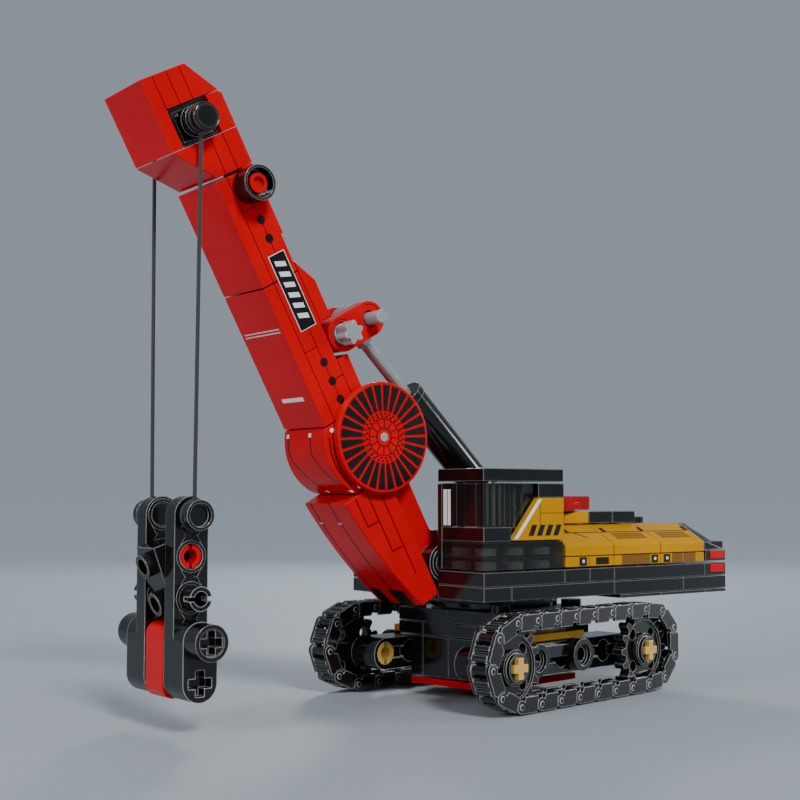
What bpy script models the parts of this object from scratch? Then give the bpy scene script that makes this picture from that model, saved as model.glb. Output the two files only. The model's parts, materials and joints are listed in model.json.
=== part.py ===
"""Interlocking-brick crawler crane: a slewing house on two chain tracks, a leaning box boom raised by
one hydraulic cylinder, and a grab that hangs from the boom head on two strings.

Sizes below are millimetres. The crane faces -Y, its left (cab) side is +X, and it stands on Z = 0.
Every group of parts has an empty on its own joint axis, and its meshes are drawn around that axis.
"""
import math

import bmesh
import bpy
from mathutils import Matrix

# ---- the brick grid -------------------------------------------------------------------------------
MM = 0.001
STUD = 8.0
PLATE = 3.2
BRICK = 3 * PLATE
GAP = 0.3
BEAM_R = 3.7
PIN_R = 2.35
PIN_HOLE_R = 2.5
BAR_R = 1.6

# ---- undercarriage --------------------------------------------------------------------------------
SLEW_AT_REST = math.radians(7.9)
AXLE_Z = 9.9
SPROCKET_Y = 3 * STUD
BEAM_IN, BEAM_OUT = 12.3, 20.0
CHAIN_IN, CHAIN_OUT = 21.7, 27.8
CHAIN_WALL = 1.4
CHAIN_R = 10.7
CHAIN_LINK = 4.2
TREAD = 0.55
CHAIN_FRONT_Y, CHAIN_REAR_Y = -24.0, 26.4
TOOTH_COUNT = 16
TOOTH_TIP_R, TOOTH_ROOT_R = 9.0, 7.3
GEAR_IN, GEAR_OUT = 23.4, 26.0
HUB_OUT = 27.4
HUB_R = 3.2
AXLE_TIP = 28.1
CHASSIS_X, CHASSIS_Y = 1.5 * STUD, 2 * STUD
CHASSIS_Z = AXLE_Z - 5.8
DECK_Z = CHASSIS_Z + BRICK
DECK_TOP = DECK_Z + 2 * PLATE
BELLY_T = 1.6
TURNTABLE_R = 15.0

# ---- house ----------------------------------------------------------------------------------------
HOUSE_Z = DECK_TOP + PLATE
HOUSE_X = 3 * STUD
HOUSE_FRONT, HOUSE_REAR = -3 * STUD, 7 * STUD
FLOOR_Z = HOUSE_Z + 2 * PLATE
SLOT_X = STUD + 0.4
SLOT_REAR = -15.0
CAB_REAR = 0.0
SILL_Z = FLOOR_Z + 2 * PLATE
GLASS_T = 1.2
HOOD_LIP_Z = HOUSE_Z + 11.5
HOOD_TOP_Z = HOUSE_Z + 5 * PLATE
HOOD_REAR = 6 * STUD
BEACON_Y = 8.0
ROOF_Z = HOUSE_Z + 8 * PLATE
CHEEK_IN, CHEEK_OUT = 4.3, 8.0
CHEEK_R = 4.2

# ---- boom: V is measured towards its front face and H along it, from its lower end ------------------
BOOM_LEAN = math.radians(29.0)
PIVOT_Y, PIVOT_Z = -21.7, 31.2
PIVOT_V, PIVOT_H = -2.3, 7.0
BOOM_X = STUD
V_BACK, V_REAR, V_FRONT = -1.0, 2.2, 11.8
V_WEDGE, V_HEAD = V_FRONT + PLATE, V_FRONT + 2 * PLATE
WEDGE_END, WEDGE_TOP = 1.8, 4 * STUD
KNEE_TOP, MID_TOP, UPPER_TOP = 6 * STUD, 10 * STUD, 13 * STUD
HEAD_SILL, HEAD_SHOULDER, HEAD_TOP = 14 * STUD, 15 * STUD, 127.2
REEL_V, REEL_H, REEL_R = 0.6, 5 * STUD, 12.0
RING_V, RING_H = 5.2, 100.0
SHAFT_V, SHAFT_H = 10.0, 116.0
SHAFT_R = 2.2
LUG_H, LUG_V = 63.6, -2.0
ROD_PIN_V = LUG_V - STUD

# ---- cylinder -------------------------------------------------------------------------------------
FOOT_Y, FOOT_Z = 9.0, 35.0
BARREL_R = 4.0
BARREL_LENGTH = 49.4
ROD_EYE_R, ROD_EYE_HOLE_R = 3.6, 2.4
ROD_INSIDE = 20.0
ROD_STROKE = 10.5

# ---- ropes and grab -------------------------------------------------------------------------------
ROPE_D = 0.8
ROPE_TOP_X, ROPE_LOW_X = 10.0, 9.0
ROPE_STEP = 2.3
GRAB_HOLE_Z = 10.3
GRAB_ARM_IN, GRAB_ARM_OUT, GRAB_JAW_OUT = 4.1, 8.0, 12.0
GRAB_NECK_R = 2.4
LINK_TILT = math.radians(20.2)

# ---- colours --------------------------------------------------------------------------------------
BLACK = ("black_plastic", (0.02, 0.02, 0.022), 0.3, 1.0)
RED = ("red_plastic", (0.62, 0.01, 0.012), 0.25, 1.0)
YELLOW = ("yellow_plastic", (0.93, 0.5, 0.02), 0.25, 1.0)
TAN = ("tan_plastic", (0.72, 0.56, 0.26), 0.3, 1.0)
GREY = ("light_grey_plastic", (0.62, 0.64, 0.66), 0.25, 1.0)
SMOKE = ("smoke_glass", (0.05, 0.055, 0.06), 0.08, 0.5)
CLEAR_RED = ("clear_red", (0.75, 0.02, 0.02), 0.1, 0.6)
STRING = ("black_string", (0.03, 0.03, 0.03), 0.8, 1.0)


def clear_scene():
    for thing in list(bpy.data.objects):
        bpy.data.objects.remove(thing, do_unlink=True)


def finish_of(spec):
    """Return the Principled material for a colour tuple, made once."""
    name, colour, roughness, alpha = spec
    found = bpy.data.materials.get(name)
    if found:
        return found
    made = bpy.data.materials.new(name)
    made.use_nodes = True
    shader = made.node_tree.nodes["Principled BSDF"]
    shader.inputs["Base Color"].default_value = (*colour, 1.0)
    shader.inputs["Roughness"].default_value = roughness
    shader.inputs["Alpha"].default_value = alpha
    return made


def empty(name, at, parent=None, turn=(0.0, 0.0, 0.0)):
    made = bpy.data.objects.new(name, None)
    made.location = [MM * value for value in at]
    made.rotation_euler = turn
    made.parent = parent
    bpy.context.collection.objects.link(made)
    return made


def add(name, shape, colour, parent, smooth=False):
    """Link a bmesh, drawn in millimetres, as one named object under its joint's empty."""
    bmesh.ops.recalc_face_normals(shape, faces=shape.faces)
    bmesh.ops.scale(shape, vec=(MM, MM, MM), verts=shape.verts)
    mesh = bpy.data.meshes.new(name)
    shape.to_mesh(mesh)
    shape.free()
    mesh.materials.append(finish_of(colour))
    if smooth:
        mesh.shade_smooth()
        mesh.set_sharp_from_angle(angle=math.radians(30))
    made = bpy.data.objects.new(name, mesh)
    made.parent = parent
    bpy.context.collection.objects.link(made)
    return made


def combine(target, shapes, operation):
    """Union or cut hidden tool shapes with a boolean modifier each."""
    for index, shape in enumerate(shapes):
        tool = add(f"{target.name}_{operation.lower()}_{index}", shape, BLACK, target.parent)
        tool.hide_render = True
        tool.display_type = "WIRE"
        step = target.modifiers.new(tool.name, "BOOLEAN")
        step.operation = operation
        step.solver = "EXACT"
        step.object = tool


def prism(axis, outline, low, high):
    """Extrude a 2-D outline along an axis: X takes (y, z), Y takes (x, z) and Z takes (x, y)."""
    place = {
        "X": lambda a, b, c: (c, a, b),
        "Y": lambda a, b, c: (a, c, b),
        "Z": lambda a, b, c: (a, b, c),
    }[axis]
    shape = bmesh.new()
    face = shape.faces.new([shape.verts.new(place(a, b, low)) for a, b in outline])
    grown = bmesh.ops.extrude_face_region(shape, geom=[face])
    lifted = [item for item in grown["geom"] if isinstance(item, bmesh.types.BMVert)]
    bmesh.ops.translate(shape, verts=lifted, vec=place(0, 0, high - low))
    return shape


def box(low, high):
    corners = [(low[0], low[1]), (high[0], low[1]), (high[0], high[1]), (low[0], high[1])]
    return prism("Z", corners, low[2], high[2])


def arc(centre, radius, start, end, steps):
    """Points of an arc, angles in degrees, both ends included."""
    turns = [math.radians(start + (end - start) * i / steps) for i in range(steps + 1)]
    return [(centre[0] + radius * math.cos(t), centre[1] + radius * math.sin(t)) for t in turns]


def hull(points):
    """The smallest convex body around the points."""
    shape = bmesh.new()
    corners = [shape.verts.new(point) for point in points]
    bmesh.ops.convex_hull(shape, input=corners)
    return shape


def circle(centre, radius, steps=24):
    return arc(centre, radius, 0, 360, steps)[:-1]


def bulge(first, last, radius, steps):
    """Points of the shallow arc from first to last that bows to the left of that direction."""
    dx, dy = last[0] - first[0], last[1] - first[1]
    chord = math.hypot(dx, dy)
    rise = math.sqrt(radius ** 2 - (chord / 2) ** 2)
    centre = ((first[0] + last[0]) / 2 + dy / chord * rise, (first[1] + last[1]) / 2 - dx / chord * rise)
    start = math.degrees(math.atan2(first[1] - centre[1], first[0] - centre[0]))
    end = math.degrees(math.atan2(last[1] - centre[1], last[0] - centre[0]))
    if end - start > 180:
        end -= 360
    if start - end > 180:
        end += 360
    return arc(centre, radius, start, end, steps)


def slot_outline(first, last, radius, steps=10):
    """A beam with round ends whose centres are first and last."""
    angle = math.degrees(math.atan2(last[1] - first[1], last[0] - first[0]))
    ends = arc(last, radius, angle - 90, angle + 90, steps)
    return ends + arc(first, radius, angle + 90, angle + 270, steps)


def mirrored(side, low, high):
    """An X range on the left (+1) or right (-1) side."""
    return (low, high) if side > 0 else (-high, -low)


def cross_outline(reach, arm):
    """The plus-shaped section of an axle."""
    quarter = [(reach, -arm), (reach, arm), (arm, arm)]
    points = []
    for turn in range(4):
        c, s = round(math.cos(turn * math.pi / 2)), round(math.sin(turn * math.pi / 2))
        points += [(c * a - s * b, s * a + c * b) for a, b in quarter]
    return points


# ---- undercarriage --------------------------------------------------------------------------------
def chain_loop(side):
    """A track chain as one channel-shaped loop: a tread with a side wall along each edge."""
    low, high = mirrored(side, CHAIN_IN, CHAIN_OUT)
    inner = CHAIN_R - CHAIN_LINK
    tread = CHAIN_R - TREAD
    section = [(low, CHAIN_R), (high, CHAIN_R), (high, inner), (high - CHAIN_WALL, inner),
               (high - CHAIN_WALL, tread), (low + CHAIN_WALL, tread), (low + CHAIN_WALL, inner), (low, inner)]
    shape = bmesh.new()
    rings = []
    for end, start in ((CHAIN_REAR_Y, -90), (CHAIN_FRONT_Y, 90)):
        for step in range(15):
            turn = math.radians(start + 180 * step / 14)
            rings.append([shape.verts.new((x, end + r * math.cos(turn), CHAIN_R + r * math.sin(turn)))
                          for x, r in section])
    for here, after in zip(rings, rings[1:] + rings[:1]):
        for i in range(len(section)):
            j = (i + 1) % len(section)
            shape.faces.new((here[i], here[j], after[j], after[i]))
    return shape


def gear_outline():
    points = []
    for tooth in range(TOOTH_COUNT):
        for share, radius in ((-0.34, TOOTH_ROOT_R), (-0.15, TOOTH_TIP_R), (0.15, TOOTH_TIP_R),
                              (0.34, TOOTH_ROOT_R)):
            turn = 2 * math.pi * (tooth + share) / TOOTH_COUNT
            points.append((radius * math.cos(turn), radius * math.sin(turn)))
    return points


def sprocket(side, front, frame):
    side_name = "left" if side > 0 else "right"
    end_name = "front" if front else "rear"
    y = -SPROCKET_Y if front else SPROCKET_Y
    axis = empty(f"axis_{side_name}_{end_name}", (0, y, AXLE_Z), frame)
    gear = add(f"sprocket_{side_name}_{end_name}",
               prism("X", gear_outline(), *mirrored(side, GEAR_IN, GEAR_OUT)), BLACK, axis)
    combine(gear, [prism("X", circle((0, 0), HUB_R), *mirrored(side, BEAM_OUT + GAP, HUB_OUT))], "UNION")
    socket = prism("X", cross_outline(2.55, 1.05), *mirrored(side, BEAM_OUT, HUB_OUT + 1))
    combine(gear, [socket], "DIFFERENCE")
    pin = add(f"axle_pin_{side_name}_{end_name}",
              prism("X", cross_outline(2.25, 0.8), *mirrored(side, BEAM_OUT - 1, AXLE_TIP)), TAN, axis)
    combine(pin, [prism("X", circle((0, 0), PIN_R), *mirrored(side, BEAM_IN, BEAM_OUT - 0.5))], "UNION")


def build_undercarriage(crane):
    frame = empty("undercarriage_frame", (0, 0, 0), crane, (0, 0, SLEW_AT_REST))
    add("chassis_core", box((-CHASSIS_X, -CHASSIS_Y, CHASSIS_Z + GAP), (CHASSIS_X, CHASSIS_Y, DECK_Z)),
        BLACK, frame)
    add("belly_plate", box((-CHASSIS_X, -CHASSIS_Y, CHASSIS_Z - BELLY_T), (CHASSIS_X, CHASSIS_Y, CHASSIS_Z)),
        RED, frame)
    for name, level in (("deck_plate_lower", DECK_Z), ("deck_plate_upper", DECK_Z + PLATE)):
        add(name, box((-2 * STUD, -CHASSIS_Y, level + GAP), (2 * STUD, CHASSIS_Y, level + PLATE)),
            BLACK, frame)
    add("turntable_base", prism("Z", circle((0, 0), TURNTABLE_R, 48), DECK_TOP + GAP, DECK_TOP + PLATE / 2),
        BLACK, frame, smooth=True)
    for side, name in ((1, "left"), (-1, "right")):
        low, high = mirrored(side, BEAM_IN, BEAM_OUT)
        ends = ((-SPROCKET_Y, AXLE_Z - 0.2), (SPROCKET_Y, AXLE_Z - 0.2))
        beam = add(f"track_beam_{name}", prism("X", slot_outline(*ends, 3.6), low, high), BLACK, frame)
        holes = [prism("X", circle((y, AXLE_Z), PIN_HOLE_R), low - 1, high + 1) for y, _ in ends]
        combine(beam, holes, "DIFFERENCE")
        add(f"track_chain_{name}", chain_loop(side), BLACK, frame, smooth=True)
        for front in (True, False):
            sprocket(side, front, frame)


# ---- house ----------------------------------------------------------------------------------------
def base_outline():
    """The house plates' outline, with the slot at the front that the boom's foot swings in."""
    return [(-HOUSE_X, HOUSE_FRONT), (-SLOT_X, HOUSE_FRONT), (-SLOT_X, SLOT_REAR), (SLOT_X, SLOT_REAR),
            (SLOT_X, HOUSE_FRONT), (HOUSE_X, HOUSE_FRONT), (HOUSE_X, HOUSE_REAR), (-HOUSE_X, HOUSE_REAR)]


def hood_outline(side):
    """The cross-section of an engine hood: an upright side, a lip, a slope and a flat top."""
    points = [(HOUSE_X, FLOOR_Z + GAP), (HOUSE_X, HOOD_LIP_Z), (2 * STUD, HOOD_TOP_Z),
              (SLOT_X, HOOD_TOP_Z), (SLOT_X, FLOOR_Z + GAP)]
    return [(side * x, z) for x, z in points]


def build_cab(house):
    low, high = SLOT_X, HOUSE_X
    shell = {"window_lower": (FLOOR_Z + GAP, SILL_Z), "window_upper": (SILL_Z + PLATE + GAP, ROOF_Z)}
    inner_x, outer_x = low + GLASS_T + GAP, HOUSE_X - 1.9
    for name, (bottom, top) in shell.items():
        upper = name == "window_upper"
        right = outer_x if upper else high
        glass = add(f"cab_{name}", box((inner_x, HOUSE_FRONT, bottom), (right, CAB_REAR - GAP, top)),
                    SMOKE, house)
        room = box((inner_x + GLASS_T, HOUSE_FRONT + GLASS_T, bottom - 1),
                   (right - GLASS_T, CAB_REAR - GAP - GLASS_T, top + 1))
        combine(glass, [room], "DIFFERENCE")
    frame = add("cab_frame", box((low, HOUSE_FRONT, FLOOR_Z + GAP), (low + GLASS_T, CAB_REAR - GAP, ROOF_Z)),
                BLACK, house)
    sill = box((low + 0.5, HOUSE_FRONT, SILL_Z + GAP), (high, HOUSE_FRONT + STUD, SILL_Z + PLATE))
    combine(frame, [sill], "UNION")
    panel = [(HOUSE_FRONT + STUD + GAP, SILL_Z + GAP), (CAB_REAR - GAP, SILL_Z + GAP),
             (CAB_REAR - GAP, SILL_Z + BRICK), (-STUD, SILL_Z + BRICK)]
    add("cab_side_panel", prism("X", panel, outer_x + GAP, high), YELLOW, house)
    add("cab_roof", box((low, HOUSE_FRONT, ROOF_Z + GAP), (high, CAB_REAR, ROOF_Z + PLATE)), BLACK, house)


def build_boom_bracket(house):
    """Two cheeks on one foot, which hold the pin that the boom turns on."""
    rear, foot_top = -4.0, FLOOR_Z + PLATE
    bottom = FLOOR_Z + GAP
    cheek = arc((PIVOT_Y, PIVOT_Z), CHEEK_R, 90, 270, 12)
    cheek += [(SLOT_REAR - 1, bottom), (rear, bottom), (rear, PIVOT_Z + CHEEK_R)]
    bracket = add("boom_bracket", box((-CHEEK_OUT, SLOT_REAR + 0.5, bottom), (CHEEK_OUT, rear - 0.5, foot_top)),
                  BLACK, house)
    combine(bracket, [prism("X", cheek, *mirrored(side, CHEEK_IN, CHEEK_OUT)) for side in (1, -1)], "UNION")
    hole = prism("X", circle((PIVOT_Y, PIVOT_Z), PIN_HOLE_R), -CHEEK_OUT - 1, CHEEK_OUT + 1)
    combine(bracket, [hole], "DIFFERENCE")
    add("foot_pin", prism("X", circle((PIVOT_Y, PIVOT_Z), PIN_R), -CHEEK_OUT, CHEEK_OUT),
        BLACK, house, smooth=True)


def build_cylinder_foot(house):
    """A forked bracket whose two inward studs carry the barrel."""
    reach, floor = 7.6, FLOOR_Z + GAP
    foot = add("cylinder_foot", box((-reach, 3.0, floor), (reach, 15.5, floor + 0.8)), BLACK, house)
    lug = arc((FOOT_Y, FOOT_Z), 3.6, 0, 180, 10) + [(FOOT_Y - 3.6, floor + 0.4), (FOOT_Y + 3.6, floor + 0.4)]
    parts = []
    for side in (1, -1):
        parts.append(prism("X", lug, *mirrored(side, 4.6, reach)))
        parts.append(prism("X", circle((FOOT_Y, FOOT_Z), BAR_R), *mirrored(side, 1.2, 5.0)))
    combine(foot, parts, "UNION")


def build_house(crane):
    house = empty("house_frame", (0, 0, 0), crane)
    top_low = DECK_TOP + PLATE / 2 + GAP
    add("turntable_top", prism("Z", circle((0, 0), TURNTABLE_R, 48), top_low, HOUSE_Z - GAP),
        BLACK, house, smooth=True)
    add("house_base_lower", prism("Z", base_outline(), HOUSE_Z, HOUSE_Z + PLATE), BLACK, house)
    add("house_base_upper", prism("Z", base_outline(), HOUSE_Z + PLATE + GAP, FLOOR_Z), BLACK, house)
    build_cab(house)
    add("engine_hood_left", prism("Y", hood_outline(1), CAB_REAR + GAP, HOOD_REAR), YELLOW, house)
    add("engine_hood_right", prism("Y", hood_outline(-1), CAB_REAR + GAP, HOOD_REAR), YELLOW, house)
    add("front_box_right", box((-HOUSE_X, HOUSE_FRONT, FLOOR_Z + GAP), (-SLOT_X, CAB_REAR, SILL_Z)),
        BLACK, house)
    deck_x = SLOT_X - GAP
    add("centre_deck", box((-deck_x, 2 * STUD + 1, FLOOR_Z + GAP), (deck_x, HOOD_REAR, HOOD_TOP_Z)),
        BLACK, house)
    plate_low, plate_high = HOOD_TOP_Z + GAP, HOOD_TOP_Z + PLATE
    plates_y = BEACON_Y + STUD
    add("service_plates",
        box((SLOT_X, plates_y + GAP, plate_low), (2 * STUD, plates_y + 2 * STUD, plate_high)), BLACK, house)
    add("beacon_mount", box((SLOT_X, BEACON_Y, plate_low), (2 * STUD, plates_y, plate_high)), YELLOW, house)
    beacon_low = (SLOT_X + 0.4, BEACON_Y - 0.4, plate_high + GAP)
    beacon_high = (2 * STUD - 0.2, plates_y + 0.6, plate_high + 3.5)
    add("beacon", box(beacon_low, beacon_high), CLEAR_RED, house)
    tail_low = (-HOUSE_X, HOOD_REAR + GAP, FLOOR_Z + GAP)
    tail = add("tail_block", box(tail_low, (HOUSE_X, HOUSE_REAR, HOUSE_Z + BRICK)), BLACK, house)
    rim_x, ridge_y, foot_y = HOUSE_X - GAP, HOOD_REAR + 1.5, HOUSE_REAR - 0.4
    hip = [(rim_x, foot_y, FLOOR_Z + 1), (rim_x, foot_y, HOUSE_Z + BRICK), (rim_x, HOOD_REAR + GAP, FLOOR_Z + 1)]
    for y in (HOOD_REAR + GAP, ridge_y):
        hip += [(rim_x, y, HOOD_LIP_Z), (2 * STUD, y, HOOD_TOP_Z)]
    both_sides = [(side * x, y, z) for side in (1, -1) for x, y, z in hip]
    rear_brick = box((-1.5 * STUD, HOOD_REAR + 1, FLOOR_Z + 2), (1.5 * STUD, HOUSE_REAR - 0.2, HOOD_TOP_Z - 0.2))
    combine(tail, [hull(both_sides), rear_brick], "UNION")
    build_boom_bracket(house)
    build_cylinder_foot(house)
    return house


# ---- boom -----------------------------------------------------------------------------------------
def at(v, h):
    """A boom station as (y, z) around the boom's pivot."""
    return (PIVOT_V - v, h - PIVOT_H)


def boom_prism(outline, low, high):
    return prism("X", [at(v, h) for v, h in outline], low, high)


def crane_yz(v, h):
    """A boom station as (y, z) in the crane, at rest."""
    y, z = at(v, h)
    c, s = math.cos(BOOM_LEAN), math.sin(BOOM_LEAN)
    return (PIVOT_Y + y * c - z * s, PIVOT_Z + y * s + z * c)


def build_wedge(boom):
    front = bulge((V_WEDGE, WEDGE_TOP - GAP), (7.6, WEDGE_END), 119.0, 8)
    front_low_first = front[::-1]
    outline = [(V_REAR, WEDGE_END)] + front_low_first + [(V_REAR, WEDGE_TOP - GAP)]
    wedge = add("boom_wedge", boom_prism(outline, -BOOM_X, BOOM_X), RED, boom)
    lug_x = CHEEK_IN - GAP
    lug = [at(V_REAR + 1, PIVOT_H - 3.9), at(PIVOT_V, PIVOT_H - 3.9)]
    lug += [(PIVOT_V - v, h - PIVOT_H) for v, h in arc((PIVOT_V, PIVOT_H), 3.9, 270, 180, 8)][1:]
    lug += [at(PIVOT_V - 3.9, 12.0), at(-5.0, 14.0), at(-5.0, 26.0), at(V_REAR, 28.5), at(V_REAR + 1, 28.5)]
    combine(wedge, [prism("X", lug, -lug_x, lug_x)], "UNION")
    combine(wedge, [prism("X", circle((0, 0), PIN_HOLE_R), -lug_x - 1, lug_x + 1)], "DIFFERENCE")


def build_boom(house):
    boom = empty("boom_frame", (0, PIVOT_Y, PIVOT_Z), house, (BOOM_LEAN, 0, 0))
    build_wedge(boom)
    bump = bulge((V_FRONT, KNEE_TOP), (V_FRONT - 0.4, WEDGE_TOP), 12.2, 10)
    knee = add("boom_knee", boom_prism([(V_REAR, KNEE_TOP)] + bump + [(V_REAR, WEDGE_TOP)], -BOOM_X, BOOM_X),
               RED, boom)
    rear_block = [(V_BACK - 1.6, WEDGE_TOP + 3), (V_REAR + 1, WEDGE_TOP + 3), (V_REAR + 1, KNEE_TOP - 3),
                  (V_BACK - 1.6, KNEE_TOP - 3)]
    combine(knee, [boom_prism(rear_block, -BOOM_X, BOOM_X)], "UNION")
    reel_hole = prism("X", circle(at(REEL_V, REEL_H), PIN_HOLE_R), -BOOM_X - 1, BOOM_X + 1)
    combine(knee, [reel_hole], "DIFFERENCE")
    lug_floor = LUG_H - 4.1
    mid_outline = [(V_BACK, KNEE_TOP + GAP), (V_FRONT, KNEE_TOP + GAP), (V_FRONT, MID_TOP), (V_REAR, MID_TOP),
                   (V_REAR, lug_floor), (V_BACK, lug_floor)]
    mid = add("boom_mid", boom_prism(mid_outline, -BOOM_X, BOOM_X), RED, boom)
    mount = [(V_REAR + 1, LUG_H - 3.7), (V_REAR + 1, LUG_H + 3.7)]
    mount += arc((LUG_V, LUG_H), BEAM_R, 90, 270, 10)
    combine(mid, [boom_prism(mount, 1.9 - CHEEK_IN, CHEEK_IN - 1.9)], "UNION")
    combine(mid, [prism("X", circle(at(LUG_V, LUG_H), PIN_HOLE_R), -CHEEK_IN, CHEEK_IN)], "DIFFERENCE")
    low, high = MID_TOP + GAP, UPPER_TOP - 0.5
    outline = [(V_REAR, low), (V_FRONT, low), (V_FRONT, high), (V_REAR, high)]
    upper = add("boom_upper", boom_prism(outline, -BOOM_X, BOOM_X), RED, boom)
    combine(upper, [prism("X", circle(at(RING_V, RING_H), PIN_HOLE_R), 3.0, BOOM_X + 1)], "DIFFERENCE")
    build_head(boom)
    strip = [(V_BACK, 11 * STUD), (V_REAR - GAP, 11 * STUD), (V_REAR - GAP, HEAD_SHOULDER - GAP),
             (V_BACK, HEAD_SHOULDER - GAP)]
    add("back_strip", boom_prism(strip, -STUD / 2, STUD / 2), RED, boom)
    hump = [(V_BACK, LUG_H + 4.6), (V_REAR - GAP, LUG_H + 4.6), (V_REAR - GAP, MID_TOP + 2.4), (V_BACK, 76.7)]
    add("back_hump", boom_prism(hump, -BOOM_X, BOOM_X), RED, boom)
    build_lugs(boom)
    build_wheels(boom)
    return boom


def build_head(boom):
    outline = [(V_HEAD, HEAD_SILL), (V_HEAD, HEAD_TOP), (7.2, HEAD_TOP), (V_REAR, HEAD_SHOULDER),
               (V_REAR, UPPER_TOP), (V_FRONT - 0.8, UPPER_TOP)]
    head = add("boom_head", boom_prism(outline, -BOOM_X, BOOM_X), RED, boom)
    window = [(5.6, HEAD_SILL), (15.2, HEAD_SILL), (15.2, HEAD_SHOULDER), (5.6, HEAD_SHOULDER)]
    combine(head, [boom_prism(window, -BOOM_X - 1, BOOM_X + 1)], "DIFFERENCE")
    inset = [(5.6 + GAP, HEAD_SILL + GAP), (15.2 - GAP, HEAD_SILL + GAP), (15.2 - GAP, HEAD_SHOULDER - GAP),
             (5.6 + GAP, HEAD_SHOULDER - GAP)]
    frame = add("head_frame", boom_prism(inset, 1 - BOOM_X, BOOM_X - 1), BLACK, boom)
    hole = prism("X", circle(at(SHAFT_V, SHAFT_H), PIN_HOLE_R), -BOOM_X, BOOM_X)
    combine(frame, [hole], "DIFFERENCE")


def build_lugs(boom):
    """The two liftarms behind the boom, and the bars across them that the cylinder's rod hangs on."""
    near, far = at(LUG_V, LUG_H), at(ROD_PIN_V, LUG_H)
    for side, name in ((1, "left"), (-1, "right")):
        low, high = mirrored(side, CHEEK_IN, CHEEK_OUT)
        lug = add(f"cylinder_lug_{name}", prism("X", slot_outline(near, far, 3.9), low, high), RED, boom)
        holes = [prism("X", circle(near, PIN_HOLE_R), low - 1, high + 1),
                 prism("X", circle(far, BAR_R + 0.15), low - 1, high + 1)]
        combine(lug, holes, "DIFFERENCE")
    axle = add("lug_axle", prism("X", circle(near, PIN_R), -11.9, 11.9), GREY, boom, smooth=True)
    lobes = [(near[0] + y, near[1] + z) for y, z in cross_outline(3.0, 1.2)]
    combine(axle, [prism("X", lobes, *mirrored(side, CHEEK_OUT + GAP, 12.0)) for side in (1, -1)], "UNION")
    add("rod_pin", prism("X", circle(far, BAR_R), -CHEEK_OUT, 12.5), GREY, boom, smooth=True)


def build_wheels(boom):
    """The reel discs, the ring wheel and the rope shaft, each on its own axis."""
    reel = empty("reel_axis", (0, *at(REEL_V, REEL_H)), boom)
    for side, name in ((1, "left"), (-1, "right")):
        disc = add(f"reel_disc_{name}", prism("X", circle((0, 0), REEL_R, 56), *mirrored(side, 8.4, 10.4)),
                   RED, reel, smooth=True)
        combine(disc, [prism("X", circle((0, 0), PIN_R), *mirrored(side, 0.2, 9.0))], "UNION")
    ring = empty("ring_axis", (0, *at(RING_V, RING_H)), boom)
    wheel = add("ring_wheel", prism("X", circle((0, 0), BEAM_R, 28), BOOM_X + GAP, 13.0),
                BLACK, ring, smooth=True)
    combine(wheel, [prism("X", circle((0, 0), 2.9), 12.0, 14.0)], "DIFFERENCE")
    combine(wheel, [prism("X", circle((0, 0), PIN_R), 3.2, 12.6)], "UNION")
    level = empty("shaft_axis", (0, *at(SHAFT_V, SHAFT_H)), boom)
    shaft = add("head_shaft", prism("X", circle((0, 0), SHAFT_R), -12.4, 12.4), BLACK, level, smooth=True)
    knobs = []
    for side in (1, -1):
        knobs.append(prism("X", circle((0, 0), 3.1), *mirrored(side, BOOM_X + GAP, 9.2)))
        knobs.append(prism("X", circle((0, 0), 2.9), *mirrored(side, 10.8, 12.5)))
    combine(shaft, knobs, "UNION")


# ---- cylinder -------------------------------------------------------------------------------------
def build_cylinder(house):
    """The barrel turns on the house and the rod slides out of it towards the boom's rod pin."""
    pin_y, pin_z = crane_yz(ROD_PIN_V, LUG_H)
    reach = math.hypot(pin_y - FOOT_Y, pin_z - FOOT_Z)
    tilt = math.atan2(FOOT_Y - pin_y, pin_z - FOOT_Z)
    axis = empty("barrel_axis", (0, FOOT_Y, FOOT_Z), house, (tilt, 0, 0))
    barrel = add("cylinder_barrel", prism("Z", circle((0, 0), BARREL_R), 3.0, BARREL_LENGTH),
                 BLACK, axis, smooth=True)
    eye = prism("X", slot_outline((0, 0), (0, 5), 3.4), -4.2, 4.2)
    combine(barrel, [eye], "UNION")
    bore_floor = BARREL_LENGTH - ROD_INSIDE - ROD_STROKE
    bore = prism("Z", circle((0, 0), BAR_R + 0.15, 20), bore_floor, BARREL_LENGTH + 1)
    pivot_hole = prism("X", circle((0, 0), BAR_R + 0.1), -5, 5)
    combine(barrel, [bore, pivot_hole], "DIFFERENCE")
    rod = add("cylinder_rod", prism("Z", circle((0, 0), BAR_R, 20), BARREL_LENGTH - ROD_INSIDE, reach - 3.0),
              GREY, axis, smooth=True)
    combine(rod, [prism("X", circle((0, reach), ROD_EYE_R), -2.2, 2.2)], "UNION")
    combine(rod, [prism("X", circle((0, reach), ROD_EYE_HOLE_R), -3, 3)], "DIFFERENCE")


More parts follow.
